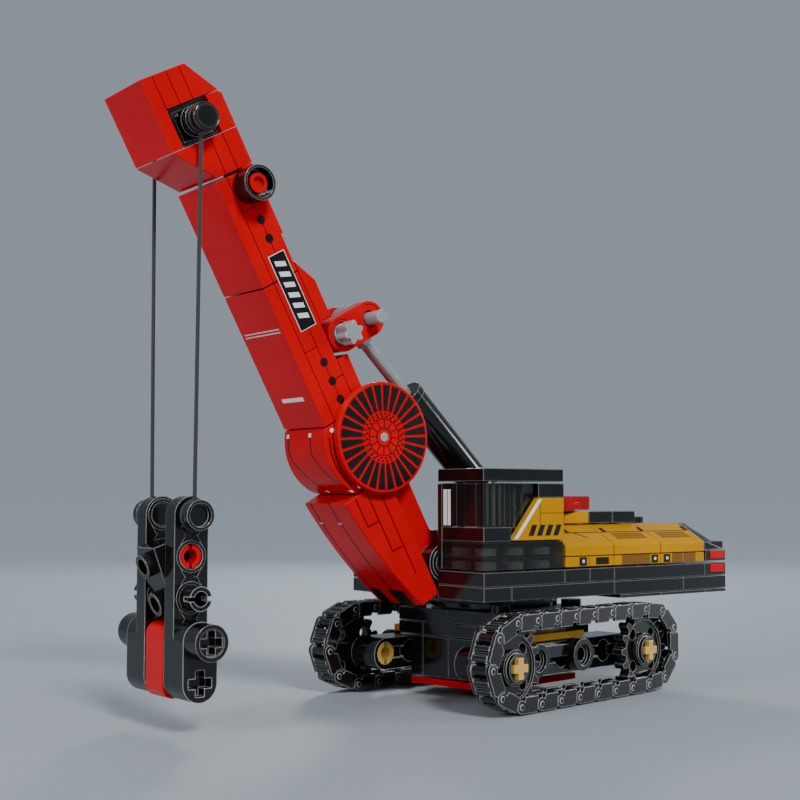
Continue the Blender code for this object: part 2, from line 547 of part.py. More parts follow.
# ---- ropes and grab -------------------------------------------------------------------------------
def build_rope(side, name, crane):
    """One string from the head shaft's groove straight down to the grab's top pin."""
    shaft_y, shaft_z = crane_yz(SHAFT_V, SHAFT_H)
    low_z = GRAB_HOLE_Z + 4 * STUD + GRAB_NECK_R + GAP
    route = [(side * ROPE_TOP_X, shaft_y, shaft_z - SHAFT_R - GAP), (side * ROPE_LOW_X, shaft_y, low_z)]
    count = math.ceil((route[0][2] - low_z) / ROPE_STEP)
    curve = bpy.data.curves.new(f"rope_{name}", "CURVE")
    curve.dimensions = "3D"
    curve.bevel_depth = MM * ROPE_D / 2
    curve.bevel_resolution = 2
    curve.use_fill_caps = True
    spline = curve.splines.new("POLY")
    spline.points.add(count)
    for step in range(count + 1):
        share = step / count
        point = [MM * (a + (b - a) * share) for a, b in zip(*route)]
        spline.points[step].co = (*point, 1.0)
    curve.materials.append(finish_of(STRING))
    rope = bpy.data.objects.new(f"rope_{name}", curve)
    rope.parent = crane
    bpy.context.collection.objects.link(rope)


def build_grab(crane):
    top = GRAB_HOLE_Z + 4 * STUD
    grab = empty("grab_frame", (0, crane_yz(SHAFT_V, SHAFT_H)[0], top), crane)

    def hole(step):
        return (0, GRAB_HOLE_Z + step * STUD - top)

    for side, name in ((1, "left"), (-1, "right")):
        arm = add(f"grab_arm_{name}", prism("X", slot_outline(hole(1), hole(4), BEAM_R),
                                            *mirrored(side, GRAB_ARM_IN, GRAB_ARM_OUT)), BLACK, grab)
        jaw = mirrored(side, GRAB_ARM_IN, GRAB_JAW_OUT)
        parts = [prism("X", slot_outline(hole(0), hole(1), BEAM_R), *jaw),
                 prism("X", circle(hole(4), GRAB_NECK_R), *mirrored(side, GRAB_ARM_OUT - 1, 11.5)),
                 prism("X", circle(hole(4), 3.0), *mirrored(side, 10.0, 11.6)),
                 prism("X", circle(hole(2), 2.4), *mirrored(side, GRAB_ARM_OUT - 1, GRAB_JAW_OUT)),
                 prism("X", circle(hole(1), 3.6), *mirrored(side, GRAB_JAW_OUT - 1, 16.5))]
        combine(arm, parts, "UNION")
    core_top = hole(1)[1] + 3.0
    core = arc((-1.2, hole(0)[1] - 1.2), 2.5, 180, 270, 6)
    core += [(BEAM_R, hole(0)[1] - BEAM_R), (BEAM_R, core_top)]
    core += arc((-1.2, core_top - 2.5), 2.5, 90, 180, 6)
    add("grab_core", prism("X", core, GAP - GRAB_ARM_IN, GRAB_ARM_IN - GAP), RED, grab)
    link = [(-0.8, core_top + GAP), (4.0, core_top + GAP), (4.0, -4.6), (-2.6, -5.2), (-6.0, -6.4)]
    body = add("grab_link", prism("X", link, GAP - GRAB_ARM_IN, GRAB_ARM_IN - GAP), BLACK, grab)
    studs = []
    for y, z in ((-4.8, -9.6), (-2.0, -17.1)):
        stud = prism("Y", circle((0, 0), 2.4), -1.8, 2.0)
        bmesh.ops.rotate(stud, verts=stud.verts, matrix=Matrix.Rotation(LINK_TILT, 3, "X"))
        bmesh.ops.translate(stud, verts=stud.verts, vec=(0, y, z))
        studs.append(stud)
    combine(body, studs, "UNION")


def front_and_rear():
    """The crane's foremost and rearmost Y, which set where the slew axis stands."""
    return crane_yz(V_HEAD, HEAD_TOP)[0], HOUSE_REAR


def main():
    clear_scene()
    front, rear = front_and_rear()
    crane = empty("crane", (0, -(front + rear) / 2, 0))
    build_undercarriage(crane)
    house = build_house(crane)
    build_boom(house)
    build_cylinder(house)
    for side, name in ((1, "left"), (-1, "right")):
        build_rope(side, name, crane)
    build_grab(crane)


main()
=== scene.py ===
"""Looks of the interlocking-brick crawler crane: camera, strings, every visible brick, and the light.

Shapes are drawn in millimetres in one of the frames below, and stored in metres in the CAD frame.
"""
import math

import bmesh
import bpy
from mathutils import Euler, Matrix, Vector
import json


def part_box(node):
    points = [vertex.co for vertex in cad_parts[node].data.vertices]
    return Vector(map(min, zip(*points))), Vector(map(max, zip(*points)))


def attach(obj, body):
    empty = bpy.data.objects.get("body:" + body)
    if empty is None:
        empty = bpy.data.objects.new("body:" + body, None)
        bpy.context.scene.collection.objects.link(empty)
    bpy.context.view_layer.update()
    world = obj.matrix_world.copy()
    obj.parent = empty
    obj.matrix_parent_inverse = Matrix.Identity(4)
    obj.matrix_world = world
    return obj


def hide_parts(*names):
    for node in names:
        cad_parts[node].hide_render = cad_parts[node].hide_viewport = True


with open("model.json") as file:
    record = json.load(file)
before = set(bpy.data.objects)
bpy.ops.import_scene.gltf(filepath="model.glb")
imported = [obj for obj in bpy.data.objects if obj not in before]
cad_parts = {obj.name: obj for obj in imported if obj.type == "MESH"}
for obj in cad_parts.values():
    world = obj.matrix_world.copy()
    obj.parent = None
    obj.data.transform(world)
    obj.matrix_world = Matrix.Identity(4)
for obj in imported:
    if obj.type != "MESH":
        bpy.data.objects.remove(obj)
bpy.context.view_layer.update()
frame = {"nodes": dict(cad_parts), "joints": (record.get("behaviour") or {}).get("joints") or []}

MM = 0.001
STUD = 8.0
PLATE = 3.2
SEAM = 0.13
BEVEL = 0.16
SHARP = 35
JOINTS = {joint["name"]: joint for joint in frame["joints"]}

# ---- places: a body, and the matrix from millimetres round a joint to metres in the CAD frame --------
BOOM_LEAN = math.radians(29.0)
UNDERCARRIAGE_YAW = math.radians(7.9)
PIVOT_V, PIVOT_H = -2.3, 7.0
AXLE_Z = 9.9


def frame_at(point, turn=(0.0, 0.0, 0.0)):
    return Matrix.Translation(point) @ Euler(turn).to_matrix().to_4x4() @ Matrix.Scale(MM, 4)


def joint_point(name):
    return Vector(JOINTS[name]["pos_m"])


SLEW = joint_point("slew")
HOUSE = ("house", frame_at((SLEW.x, SLEW.y, 0.0)))
TRACK = ("undercarriage", frame_at((SLEW.x, SLEW.y, 0.0), (0.0, 0.0, UNDERCARRIAGE_YAW)))
BOOM = ("boom", frame_at(joint_point("boom_luff"), (BOOM_LEAN, 0.0, 0.0)))
ROD_AXIS = Vector(JOINTS["rod_slide"]["axis"])
BARREL = ("barrel", frame_at(joint_point("barrel_tilt"), (math.atan2(-ROD_AXIS.y, ROD_AXIS.z), 0.0, 0.0)))
ROD = ("rod", BARREL[1])
REEL = ("reel", frame_at(joint_point("reel_spin"), (BOOM_LEAN, 0.0, 0.0)))
RING = ("ring", frame_at(joint_point("ring_spin"), (BOOM_LEAN, 0.0, 0.0)))
SHAFT = ("hanger", frame_at(joint_point("hanger_level"), (BOOM_LEAN, 0.0, 0.0)))
GRAB = ("grab", frame_at(joint_point("grab_tilt")))

SIDES = ((1, "left"), (-1, "right"))


# ---- camera -----------------------------------------------------------------------------------------
def make_camera():
    lens = bpy.data.cameras.new("camera")
    lens.lens = 59.19
    lens.sensor_width = 36.0
    lens.clip_start = 0.01
    made = bpy.data.objects.new("camera", lens)
    made.location = (0.2366, -0.2097 + SLEW.y, 0.0458)
    made.rotation_euler = (math.radians(90 + 4.22), 0.0, math.radians(52.49))
    bpy.context.scene.collection.objects.link(made)
    bpy.context.scene.camera = made


make_camera()


# ---- materials --------------------------------------------------------------------------------------
def node(tree, kind, **values):
    made = tree.nodes.new(kind)
    for key, value in values.items():
        if key in made.inputs:
            made.inputs[key].default_value = value
        else:
            setattr(made, key, value)
    return made


def noise_of(tree, coordinates, scale, detail=4.0, roughness=0.55, stretch=(1.0, 1.0, 1.0)):
    mapping = node(tree, "ShaderNodeMapping", Scale=stretch)
    tree.links.new(coordinates, mapping.inputs["Vector"])
    made = node(tree, "ShaderNodeTexNoise", Scale=scale, Detail=detail, Roughness=roughness)
    tree.links.new(mapping.outputs["Vector"], made.inputs["Vector"])
    return made.outputs["Fac"]


def ranged(tree, value, low, high, out_low, out_high):
    made = node(tree, "ShaderNodeMapRange")
    for index, number in enumerate((low, high, out_low, out_high), 1):
        made.inputs[index].default_value = number
    tree.links.new(value, made.inputs[0])
    return made.outputs[0]


def mixed(tree, factor, first, second):
    """Blend two colours, each a tuple or a socket, by a factor socket."""
    made = node(tree, "ShaderNodeMix", data_type="RGBA")
    tree.links.new(factor, made.inputs["Factor"])
    for name, value in (("A", first), ("B", second)):
        socket = [s for s in made.inputs if s.name == name and s.type == "RGBA"][0]
        if isinstance(value, tuple):
            socket.default_value = (*value, 1.0)
        else:
            tree.links.new(value, socket)
    return [s for s in made.outputs if s.type == "RGBA"][0]


def shaded(colour, share):
    return tuple(min(1.0, channel * share) for channel in colour)


def material(name):
    """A new material with its node tree, shader and object coordinates."""
    made = bpy.data.materials.new(name)
    made.use_nodes = True
    tree = made.node_tree
    return made, tree, tree.nodes["Principled BSDF"], node(tree, "ShaderNodeTexCoord").outputs["Object"]


def edge_highlight_mask(tree, reach):
    """The mask of the painted edge highlights: 1 where the surface turns within a hairline's reach, and 0 on
    open faces.
    """
    rounded = node(tree, "ShaderNodeBevel", Radius=reach)
    rounded.samples = 6
    facing = node(tree, "ShaderNodeVectorMath", operation="DOT_PRODUCT")
    tree.links.new(rounded.outputs["Normal"], facing.inputs[0])
    tree.links.new(node(tree, "ShaderNodeNewGeometry").outputs["True Normal"], facing.inputs[1])
    return ranged(tree, facing.outputs["Value"], 0.985, 0.86, 0.0, 1.0)


WHITE = (1.0, 1.0, 1.0)


def plastic(name, colour, rough=0.2, edge=None, edge_highlight_share=0.5, gloss=0.5, clear=0.0, metal=0.0, alpha=1.0,
            tint=WHITE):
    """Moulded brick plastic: faint flow marks, uneven gloss, hairline scratches, and a painted highlight on
    the edges, a paler colour mixed in where the surface turns.
    """
    made, tree, shader, place = material(name)
    flow = noise_of(tree, place, 60.0, 3.0)
    tone = mixed(tree, ranged(tree, flow, 0.35, 0.65, 0.0, 1.0), shaded(colour, 0.92), shaded(colour, 1.06))
    # edge is the colour of the painted edge highlight, mixed in at the given share where the surface turns.
    if edge:
        share = node(tree, "ShaderNodeMath", operation="MULTIPLY")
        tree.links.new(edge_highlight_mask(tree, 0.0003), share.inputs[0])
        share.inputs[1].default_value = edge_highlight_share
        tone = mixed(tree, share.outputs[0], tone, edge)
    tree.links.new(tone, shader.inputs["Base Color"])
    patches = noise_of(tree, place, 420.0, 6.0, 0.7)
    tree.links.new(ranged(tree, patches, 0.3, 0.7, rough - 0.04, rough + 0.07), shader.inputs["Roughness"])
    swell = node(tree, "ShaderNodeBump", Strength=0.02, Distance=0.0002)
    tree.links.new(noise_of(tree, place, 130.0, 2.0), swell.inputs["Height"])
    scratch = noise_of(tree, place, 900.0, 5.0, 0.75, (1.0, 6.0, 0.35))
    grain = node(tree, "ShaderNodeBump", Strength=0.035, Distance=0.00003)
    tree.links.new(ranged(tree, scratch, 0.45, 0.75, 0.0, 1.0), grain.inputs["Height"])
    tree.links.new(swell.outputs["Normal"], grain.inputs["Normal"])
    tree.links.new(grain.outputs["Normal"], shader.inputs["Normal"])
    uniform = {"IOR": 1.5, "Specular IOR Level": gloss, "Specular Tint": (*tint, 1.0),
               "Transmission Weight": clear, "Metallic": metal, "Alpha": alpha}
    for key, value in uniform.items():
        shader.inputs[key].default_value = value
    return made


def string_material():
    """Braided black string: fine crossing ridges under a soft sheen."""
    made, tree, shader, place = material("string")
    ridge = node(tree, "ShaderNodeTexWave", Scale=900.0, Distortion=0.6)
    ridge.bands_direction = "DIAGONAL"
    tree.links.new(place, ridge.inputs["Vector"])
    tone = mixed(tree, ridge.outputs["Fac"], (0.008, 0.008, 0.009), (0.035, 0.034, 0.033))
    tree.links.new(tone, shader.inputs["Base Color"])
    bump = node(tree, "ShaderNodeBump", Strength=0.6, Distance=0.0001)
    tree.links.new(ridge.outputs["Fac"], bump.inputs["Height"])
    tree.links.new(bump.outputs["Normal"], shader.inputs["Normal"])
    shader.inputs["Roughness"].default_value = 0.7
    shader.inputs["Sheen Weight"].default_value = 0.2
    return made


def floor_material():
    made, tree, shader, place = material("floor")
    grain = noise_of(tree, place, 40.0, 5.0)
    colour = mixed(tree, grain, (0.35, 0.40, 0.445), (0.365, 0.415, 0.46))
    tree.links.new(colour, shader.inputs["Base Color"])
    shader.inputs["Roughness"].default_value = 0.65
    return made


# The fourth and fifth values of each plastic are its painted edge highlight: a paler colour laid on every
# turned edge, and how much of it is mixed in. The track's is the strongest.
PAINT = {
    "black": plastic("black_brick", (0.005, 0.005, 0.005), 0.13, (0.62, 0.62, 0.62), 0.9, 0.5),
    "track": plastic("track_brick", (0.006, 0.006, 0.006), 0.13, (0.75, 0.75, 0.75), 0.95, 0.6),
    "red": plastic("red_brick", (0.62, 0.0, 0.006), 0.22, (0.90, 0.05, 0.06), 0.5, 0.3,
                   tint=(1.0, 0.10, 0.10)),
    "yellow": plastic("yellow_brick", (0.55, 0.25, 0.0), 0.2, (0.85, 0.48, 0.0), 0.45, 0.3,
                      tint=(1.0, 0.66, 0.02)),
    "ochre": plastic("ochre_print", (0.20, 0.075, 0.0), 0.3, gloss=0.3),
    "tan": plastic("tan_brick", (0.62, 0.38, 0.07), 0.18, (0.95, 0.72, 0.30), 0.5),
    "grey": plastic("light_grey_brick", (0.30, 0.31, 0.32), 0.2, (0.9, 0.9, 0.9), 0.5),
    "silver": plastic("silver_bar", (0.40, 0.41, 0.43), 0.14, gloss=0.9, metal=0.4),
    "ink": plastic("black_print", (0.003, 0.003, 0.0035), 0.3, gloss=0.3),
    "white": plastic("white_print", (0.85, 0.85, 0.84), 0.3, gloss=0.3),
    # Painted highlight: the pale grey of the studs and ribs inside the cab stands in for the light they catch
    # behind the smoke glass.
    "haze": plastic("smoke_inner_painted_light", (0.46, 0.50, 0.46), 0.25, (0.80, 0.84, 0.80), 0.5),
    "glass": plastic("smoke_glass", (0.012, 0.015, 0.014), 0.05, (0.30, 0.32, 0.31), 0.6, alpha=0.5),
    "clear_red": plastic("clear_red", (0.90, 0.0, 0.004), 0.05, (1.0, 0.16, 0.12), 0.4, clear=0.8),
    "string": string_material(),
}
SLOT = {name: name for name in ("black", "red", "yellow", "tan", "clear_red", "string")}
SLOT.update(track="black", ink="black", ochre="yellow", haze="smoke", glass="smoke",
            silver="light_grey", grey="light_grey", white="light_grey")


# ---- shape helpers ----------------------------------------------------------------------------------
def prism(axis, outline, low, high, shape=None):
    """Extrude a 2-D outline along an axis: X takes (y, z), Y takes (x, z) and Z takes (x, y)."""
    place = {
        "X": lambda a, b, c: (c, a, b),
        "Y": lambda a, b, c: (a, c, b),
        "Z": lambda a, b, c: (a, b, c),
    }[axis]
    shape = shape or bmesh.new()
    face = shape.faces.new([shape.verts.new(place(a, b, low)) for a, b in outline])
    grown = bmesh.ops.extrude_face_region(shape, geom=[face])
    lifted = [item for item in grown["geom"] if isinstance(item, bmesh.types.BMVert)]
    bmesh.ops.translate(shape, verts=lifted, vec=place(0, 0, high - low))
    return shape


def block(low, high, shape=None):
    corners = [(low[0], low[1]), (high[0], low[1]), (high[0], high[1]), (low[0], high[1])]
    return prism("Z", corners, low[2], high[2], shape)


def polar(radius, turn, centre=(0.0, 0.0)):
    return (centre[0] + radius * math.cos(turn), centre[1] + radius * math.sin(turn))


def turned_by(points, turn):
    c, s = math.cos(turn), math.sin(turn)
    return [(c * a - s * b, s * a + c * b) for a, b in points]


def arc(centre, radius, start, end, steps):
    return [polar(radius, math.radians(start + (end - start) * i / steps), centre) for i in range(steps + 1)]


def hull(points, shape=None):
    """The smallest convex body around the points."""
    shape = shape or bmesh.new()
    bmesh.ops.convex_hull(shape, input=[shape.verts.new(point) for point in points])
    return shape


def circle(centre, radius, steps=32):
    return arc(centre, radius, 0, 360, steps)[:-1]


def bulge(first, last, radius, steps):
    """Points of the shallow arc from first to last that bows to the left of that direction."""
    dx, dy = last[0] - first[0], last[1] - first[1]
    chord = math.hypot(dx, dy)
    rise = math.sqrt(radius ** 2 - (chord / 2) ** 2)
    centre = ((first[0] + last[0]) / 2 + dy / chord * rise, (first[1] + last[1]) / 2 - dx / chord * rise)
    start = math.degrees(math.atan2(first[1] - centre[1], first[0] - centre[0]))
    end = math.degrees(math.atan2(last[1] - centre[1], last[0] - centre[0]))
    if end - start > 180:
        end -= 360
    if start - end > 180:
        end += 360
    return arc(centre, radius, start, end, steps)


def slot_outline(first, last, radius, steps=16):
    angle = math.degrees(math.atan2(last[1] - first[1], last[0] - first[0]))
    ends = arc(last, radius, angle - 90, angle + 90, steps)
    return ends + arc(first, radius, angle + 90, angle + 270, steps)


def cross_outline(reach, arm, centre=(0.0, 0.0)):
    quarter = [(reach, -arm), (reach, arm), (arm, arm)]
    points = [point for turn in range(4) for point in turned_by(quarter, turn * math.pi / 2)]
    return [(centre[0] + a, centre[1] + b) for a, b in points]


def mirrored(side, low, high):
    return (low, high) if side > 0 else (-high, -low)


def round_again(items):
    """Neighbouring pairs of a closed row, the last with the first."""
    return zip(items, items[1:] + items[:1])


def skin(shape, rows, closed=True):
    """Join closed rows of points, in order: round to the first row again, or with a face at each end."""
    rows = [[shape.verts.new(point) for point in row] for row in rows]
    for here, after in round_again(rows) if closed else spaced(rows):
        for (a, b), (c, d) in zip(round_again(here), round_again(after)):
            shape.faces.new((a, b, d, c))
    if not closed:
        shape.faces.new(rows[0])
        shape.faces.new(rows[-1][::-1])
    return shape


def ring(axis_low, axis_high, outer, inner, centre=(0.0, 0.0), shape=None, steps=36):
    """A tube along X between two radii."""
    corners = ((axis_low, outer), (axis_high, outer), (axis_high, inner), (axis_low, inner))
    rows = [[(x, a, b) for a, b in circle(centre, radius, steps)] for x, radius in corners]
    return skin(shape or bmesh.new(), rows)


def patch(shape, top, low):
    """A thin plate between two loops of corners."""
    top, low = ([shape.verts.new(corner) for corner in loop] for loop in (top, low))
    shape.faces.new(top)
    shape.faces.new(low[::-1])
    for (a, b), (c, d) in zip(round_again(top), round_again(low)):
        shape.faces.new((a, c, d, b))


def make(name, shape, paint, place, replaces=(), bevel=BEVEL, segments=2, sharp=SHARP):
    """Store a millimetre shape as one painted piece of a body, with its edges rounded."""
    bmesh.ops.recalc_face_normals(shape, faces=shape.faces)
    mesh = bpy.data.meshes.new(name)
    shape.to_mesh(mesh)
    shape.free()
    mesh.transform(place[1])
    mesh.materials.append(PAINT[paint])
    mesh.shade_smooth()
    mesh.set_sharp_from_angle(angle=math.radians(sharp))
    made = bpy.data.objects.new(name, mesh)
    bpy.context.scene.collection.objects.link(made)
    if bevel:
        rounding = made.modifiers.new("rounding", "BEVEL")
        rounding.width = bevel * MM
        rounding.segments = segments
        rounding.limit_method = "ANGLE"
        rounding.angle_limit = math.radians(sharp)
        rounding.harden_normals = True
    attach(made, place[0])
    if replaces:
        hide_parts(*replaces)
    return made


def carve(target, shapes, place):
    """Cut millimetre shapes out of a piece, before its edges are rounded."""
    tool_shape = bmesh.new()
    for shape in shapes:
        bmesh.ops.recalc_face_normals(shape, faces=shape.faces)
        loose = bpy.data.meshes.new("loose")
        shape.to_mesh(loose)
        shape.free()
        tool_shape.from_mesh(loose)
        bpy.data.meshes.remove(loose)
    mesh = bpy.data.meshes.new("cutter")
    tool_shape.to_mesh(mesh)
    tool_shape.free()
    mesh.transform(place[1])
    tool = bpy.data.objects.new("cutter", mesh)
    bpy.context.scene.collection.objects.link(tool)
    step = target.modifiers.new("cut", "BOOLEAN")
    step.operation = "DIFFERENCE"
    step.solver = "EXACT"
    step.use_self = True
    step.object = tool
    target.modifiers.move(len(target.modifiers) - 1, 0)
    graph = bpy.context.evaluated_depsgraph_get()
    rounding = target.modifiers.get("rounding")
    if rounding:
        rounding.show_viewport = False
    graph.update()
    cut = bpy.data.meshes.new_from_object(target.evaluated_get(graph))
    cut.shade_smooth()
    cut.set_sharp_from_angle(angle=math.radians(SHARP))
    target.modifiers.remove(step)
    target.data = cut
    if rounding:
        rounding.show_viewport = True
    bpy.data.objects.remove(tool, do_unlink=True)


def bricks(name, sizes, paint, place, replaces=(), bevel=BEVEL):
    """Many box bricks, each (x0, x1, y0, y1, z0, z1), with a hairline seam round every one."""
    shape = bmesh.new()
    half = SEAM / 2
    for x0, x1, y0, y1, z0, z1 in sizes:
        block((x0 + half, y0 + half, z0 + half), (x1 - half, y1 - half, z1 - half), shape)
    make(name, shape, paint, place, replaces, bevel)


def spaced(points):
    """Neighbouring pairs along a row of seam positions."""
    return list(zip(points, points[1:]))


def at(v, h):
    """A boom station, V towards its front and H along it, as (y, z) round the boom's pivot."""
    return (PIVOT_V - v, h - PIVOT_H)


def boom_bricks(name, outlines, low=-8.0, high=8.0, paint="red", replaces=(), bevel=BEVEL):
    """Full-width boom bricks from (v, h) outlines, each drawn in by half a seam."""
    shape = bmesh.new()
    for outline in outlines:
        mid = [(min(p[i] for p in outline) + max(p[i] for p in outline)) / 2 for i in (0, 1)]
        span = [max(p[i] for p in outline) - min(p[i] for p in outline) for i in (0, 1)]
        drawn = [tuple(mid[i] + (p[i] - mid[i]) * (1 - SEAM / span[i]) for i in (0, 1)) for p in outline]
        prism("X", [at(v, h) for v, h in drawn], low, high, shape)
    return make(name, shape, paint, BOOM, replaces, bevel)


def rect(v0, v1, h0, h1):
    return [(v0, h0), (v1, h0), (v1, h1), (v0, h1)]


def side_line(shape, points, width):
    """A printed line along (v, h) points on both sides of the boom."""
    for (v0, h0), (v1, h1) in spaced(points):
        length = math.hypot(v1 - v0, h1 - h0)
        nv, nh = (h1 - h0) / length * width / 2, -(v1 - v0) / length * width / 2
        corners = [at(v0 + nv, h0 + nh), at(v1 + nv, h1 + nh), at(v1 - nv, h1 - nh), at(v0 - nv, h0 - nh)]
        for side in (1, -1):
            prism("X", corners, *mirrored(side, 7.95, 8.03), shape)


# ---- strings ----------------------------------------------------------------------------------------
ROPE_D = 0.8
ROPE_STEP = 2.3


def make_strings():
    """The two strings, along the same routes as their CAD tubes, with a loop round each pin."""
    top = joint_point("hanger_level")
    low = joint_point("grab_tilt")
    for side, name in SIDES:
        start = Vector((side * 10.0 * MM, top.y, top.z - 2.5 * MM))
        end = Vector((side * 9.0 * MM, top.y, low.z + 2.7 * MM))
        count = math.ceil((start.z - end.z) / MM / ROPE_STEP)
        curve = bpy.data.curves.new(f"string_{name}", "CURVE")
        curve.dimensions = "3D"
        curve.bevel_depth = ROPE_D / 2 * MM
        curve.bevel_resolution = 3
        curve.use_fill_caps = True
        spline = curve.splines.new("POLY")
        spline.points.add(count)
        for step in range(count + 1):
            spline.points[step].co = (*start.lerp(end, step / count), 1.0)
        curve.materials.append(PAINT["string"])
        string = bpy.data.objects.new(f"string_{name}", curve)
        bpy.context.scene.collection.objects.link(string)
        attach(string, "strings")
        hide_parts(f"rope_{name}")
        for label, centre, radius, x in (("upper", top, 2.25, side * 10.0), ("lower", low, 2.45, side * 9.0)):
            section = circle((radius + 0.4, x), 0.36, 8)
            rows = [[(across, *polar(reach, 2 * math.pi * turn / 28)) for reach, across in section]
                    for turn in range(28)]
            shape = skin(bmesh.new(), rows)
            place = ("strings", frame_at(centre))
            make(f"string_loop_{name}_{label}", shape, "string", place, bevel=0)


make_strings()


# ---- undercarriage ----------------------------------------------------------------------------------
CHAIN_X = 24.75
LINK_COUNT = 23
TEETH = 16
PIN_RADIUS = 8.6
CHAIN_MIDDLE, CHAIN_HALF, CHAIN_Z = 1.2, 25.2, 10.7
DECK_Z, DECK_TOP = 13.7, 20.1


def chain_pins():
    """Evenly spaced pin centres (y, z) round the chain's loop."""
    straight = 2 * CHAIN_HALF
    bend = math.pi * PIN_RADIUS
    total = 2 * (straight + bend)
    pins = []
    for index in range(LINK_COUNT):
        run = total * index / LINK_COUNT
        if run < straight:
            y, z = -CHAIN_HALF + run, PIN_RADIUS
        elif run < straight + bend:
            turn = math.pi / 2 - (run - straight) / PIN_RADIUS
            y, z = CHAIN_HALF + PIN_RADIUS * math.cos(turn), PIN_RADIUS * math.sin(turn)
        elif run < 2 * straight + bend:
            y, z = CHAIN_HALF - (run - straight - bend), -PIN_RADIUS
        else:
            turn = -math.pi / 2 - (run - 2 * straight - bend) / PIN_RADIUS
            y, z = -CHAIN_HALF + PIN_RADIUS * math.cos(turn), PIN_RADIUS * math.sin(turn)
        pins.append((CHAIN_MIDDLE + y, CHAIN_Z + z))
    return pins


def link_shape():
    """One track link round its own middle: X across, Y along the chain and Z outwards."""
    shape = bmesh.new()
    knuckle = (2.75, 0.25)
    plate = [(-2.75, -1.75), (1.3, -1.75), (1.7, -0.9)]
    plate += arc(knuckle, 1.45, 225, 450, 12)
    plate += [(-2.2, 1.7), (-2.75, 1.1)]
    for side in (1, -1):
        prism("X", plate, *mirrored(side, 2.1, 3.0), shape)
        prism("X", circle(knuckle, 0.6, 14), *mirrored(side, 2.9, 3.12), shape)
        prism("X", circle((-2.0, 0.1), 1.3, 14), *mirrored(side, 1.4, 2.02), shape)
    tread = [(-2.6, 0.75), (1.1, 0.75), (1.1, 1.3), (0.75, 1.78), (-0.1, 1.78), (-0.45, 1.35), (-1.0, 1.35),
             (-1.35, 1.78), (-2.2, 1.78), (-2.6, 1.35)]
    prism("X", tread, -2.08, 2.08, shape)
    prism("X", circle(knuckle, 1.15, 18), -2.08, 2.08, shape)
    return shape


def make_chain(side, name):
    pins = chain_pins()
    pattern = link_shape()
    bmesh.ops.recalc_face_normals(pattern, faces=pattern.faces)
    loose = bpy.data.meshes.new("link")
    pattern.to_mesh(loose)
    pattern.free()
    whole = bmesh.new()
    for here, after in zip(pins, pins[1:] + pins[:1]):
        along = Vector((0.0, after[0] - here[0], after[1] - here[1])).normalized()
        across = Vector((1.0, 0.0, 0.0))
        outward = Vector((0.0, -along.z, along.y))
        turn = Matrix((across, along, outward)).transposed().to_4x4()
        middle = Vector((side * CHAIN_X, (here[0] + after[0]) / 2, (here[1] + after[1]) / 2))
        copy = loose.copy()
        copy.transform(Matrix.Translation(middle) @ turn)
        whole.from_mesh(copy)
        bpy.data.meshes.remove(copy)
    bpy.data.meshes.remove(loose)
    make(f"chain_links_{name}", whole, "track", TRACK, [f"track_chain_{name}"], 0.14)


def gear_outline():
    flanks = ((-0.34, 7.3), (-0.17, 8.8), (-0.10, 9.0), (0.10, 9.0), (0.17, 8.8), (0.34, 7.3))
    return [polar(radius, 2 * math.pi * (tooth + share) / TEETH) for tooth in range(TEETH)
            for share, radius in flanks]


def make_sprocket(side, name):
    """A toothed wheel with its hub, the tan cross axle through it and the split pin behind it."""
    place = (f"{name}_sprocket", frame_at(joint_point(f"{name}_spin"), (0.0, 0.0, UNDERCARRIAGE_YAW)))
    centre = side * 24.7

    def local(low, high):
        low, high = mirrored(side, low, high)
        return low - centre, high - centre

    web = prism("X", gear_outline(), *local(23.4, 26.0))
    gear = make(f"gear_{name}", web, "black", place, [f"sprocket_{name}"], 0.14)
    holes = [prism("X", circle(polar(5.2, math.radians(turn)), 1.25, 20), *local(22, 27.5))
             for turn in (45, 135, 225, 315)]
    pocket = ring(*local(25.4, 27), 6.9, 3.4, steps=40)
    carve(gear, holes + [pocket], place)
    hub = ring(*local(20.3, 27.4), 3.15, 2.62)
    ring(*local(25.9, 26.5), 3.9, 3.0, shape=hub)
    prism("X", circle((0, 0), 2.75, 30), *local(20.6, 26.9), hub)
    make(f"hub_{name}", hub, "black", place, bevel=0.12)
    axle = prism("X", cross_outline(2.3, 0.85), *local(19.0, 28.1))
    make(f"axle_{name}", axle, "tan", place, [f"axle_pin_{name}"], 0.14)
    pin = ring(*local(12.3, 19.5), 2.35, 1.5)
    ring(*local(12.3, 12.9), 2.62, 1.5, shape=pin)
    pin_piece = make(f"pin_{name}", pin, "tan", place, bevel=0.1)
    carve(pin_piece, [block((local(12, 14.5)[0], -0.45, -3), (local(12, 14.5)[1], 0.45, 3))], place)
    make(f"pin_floor_{name}", prism("X", circle((0, 0), 1.45, 24), *local(15.0, 15.8)), "tan", place)


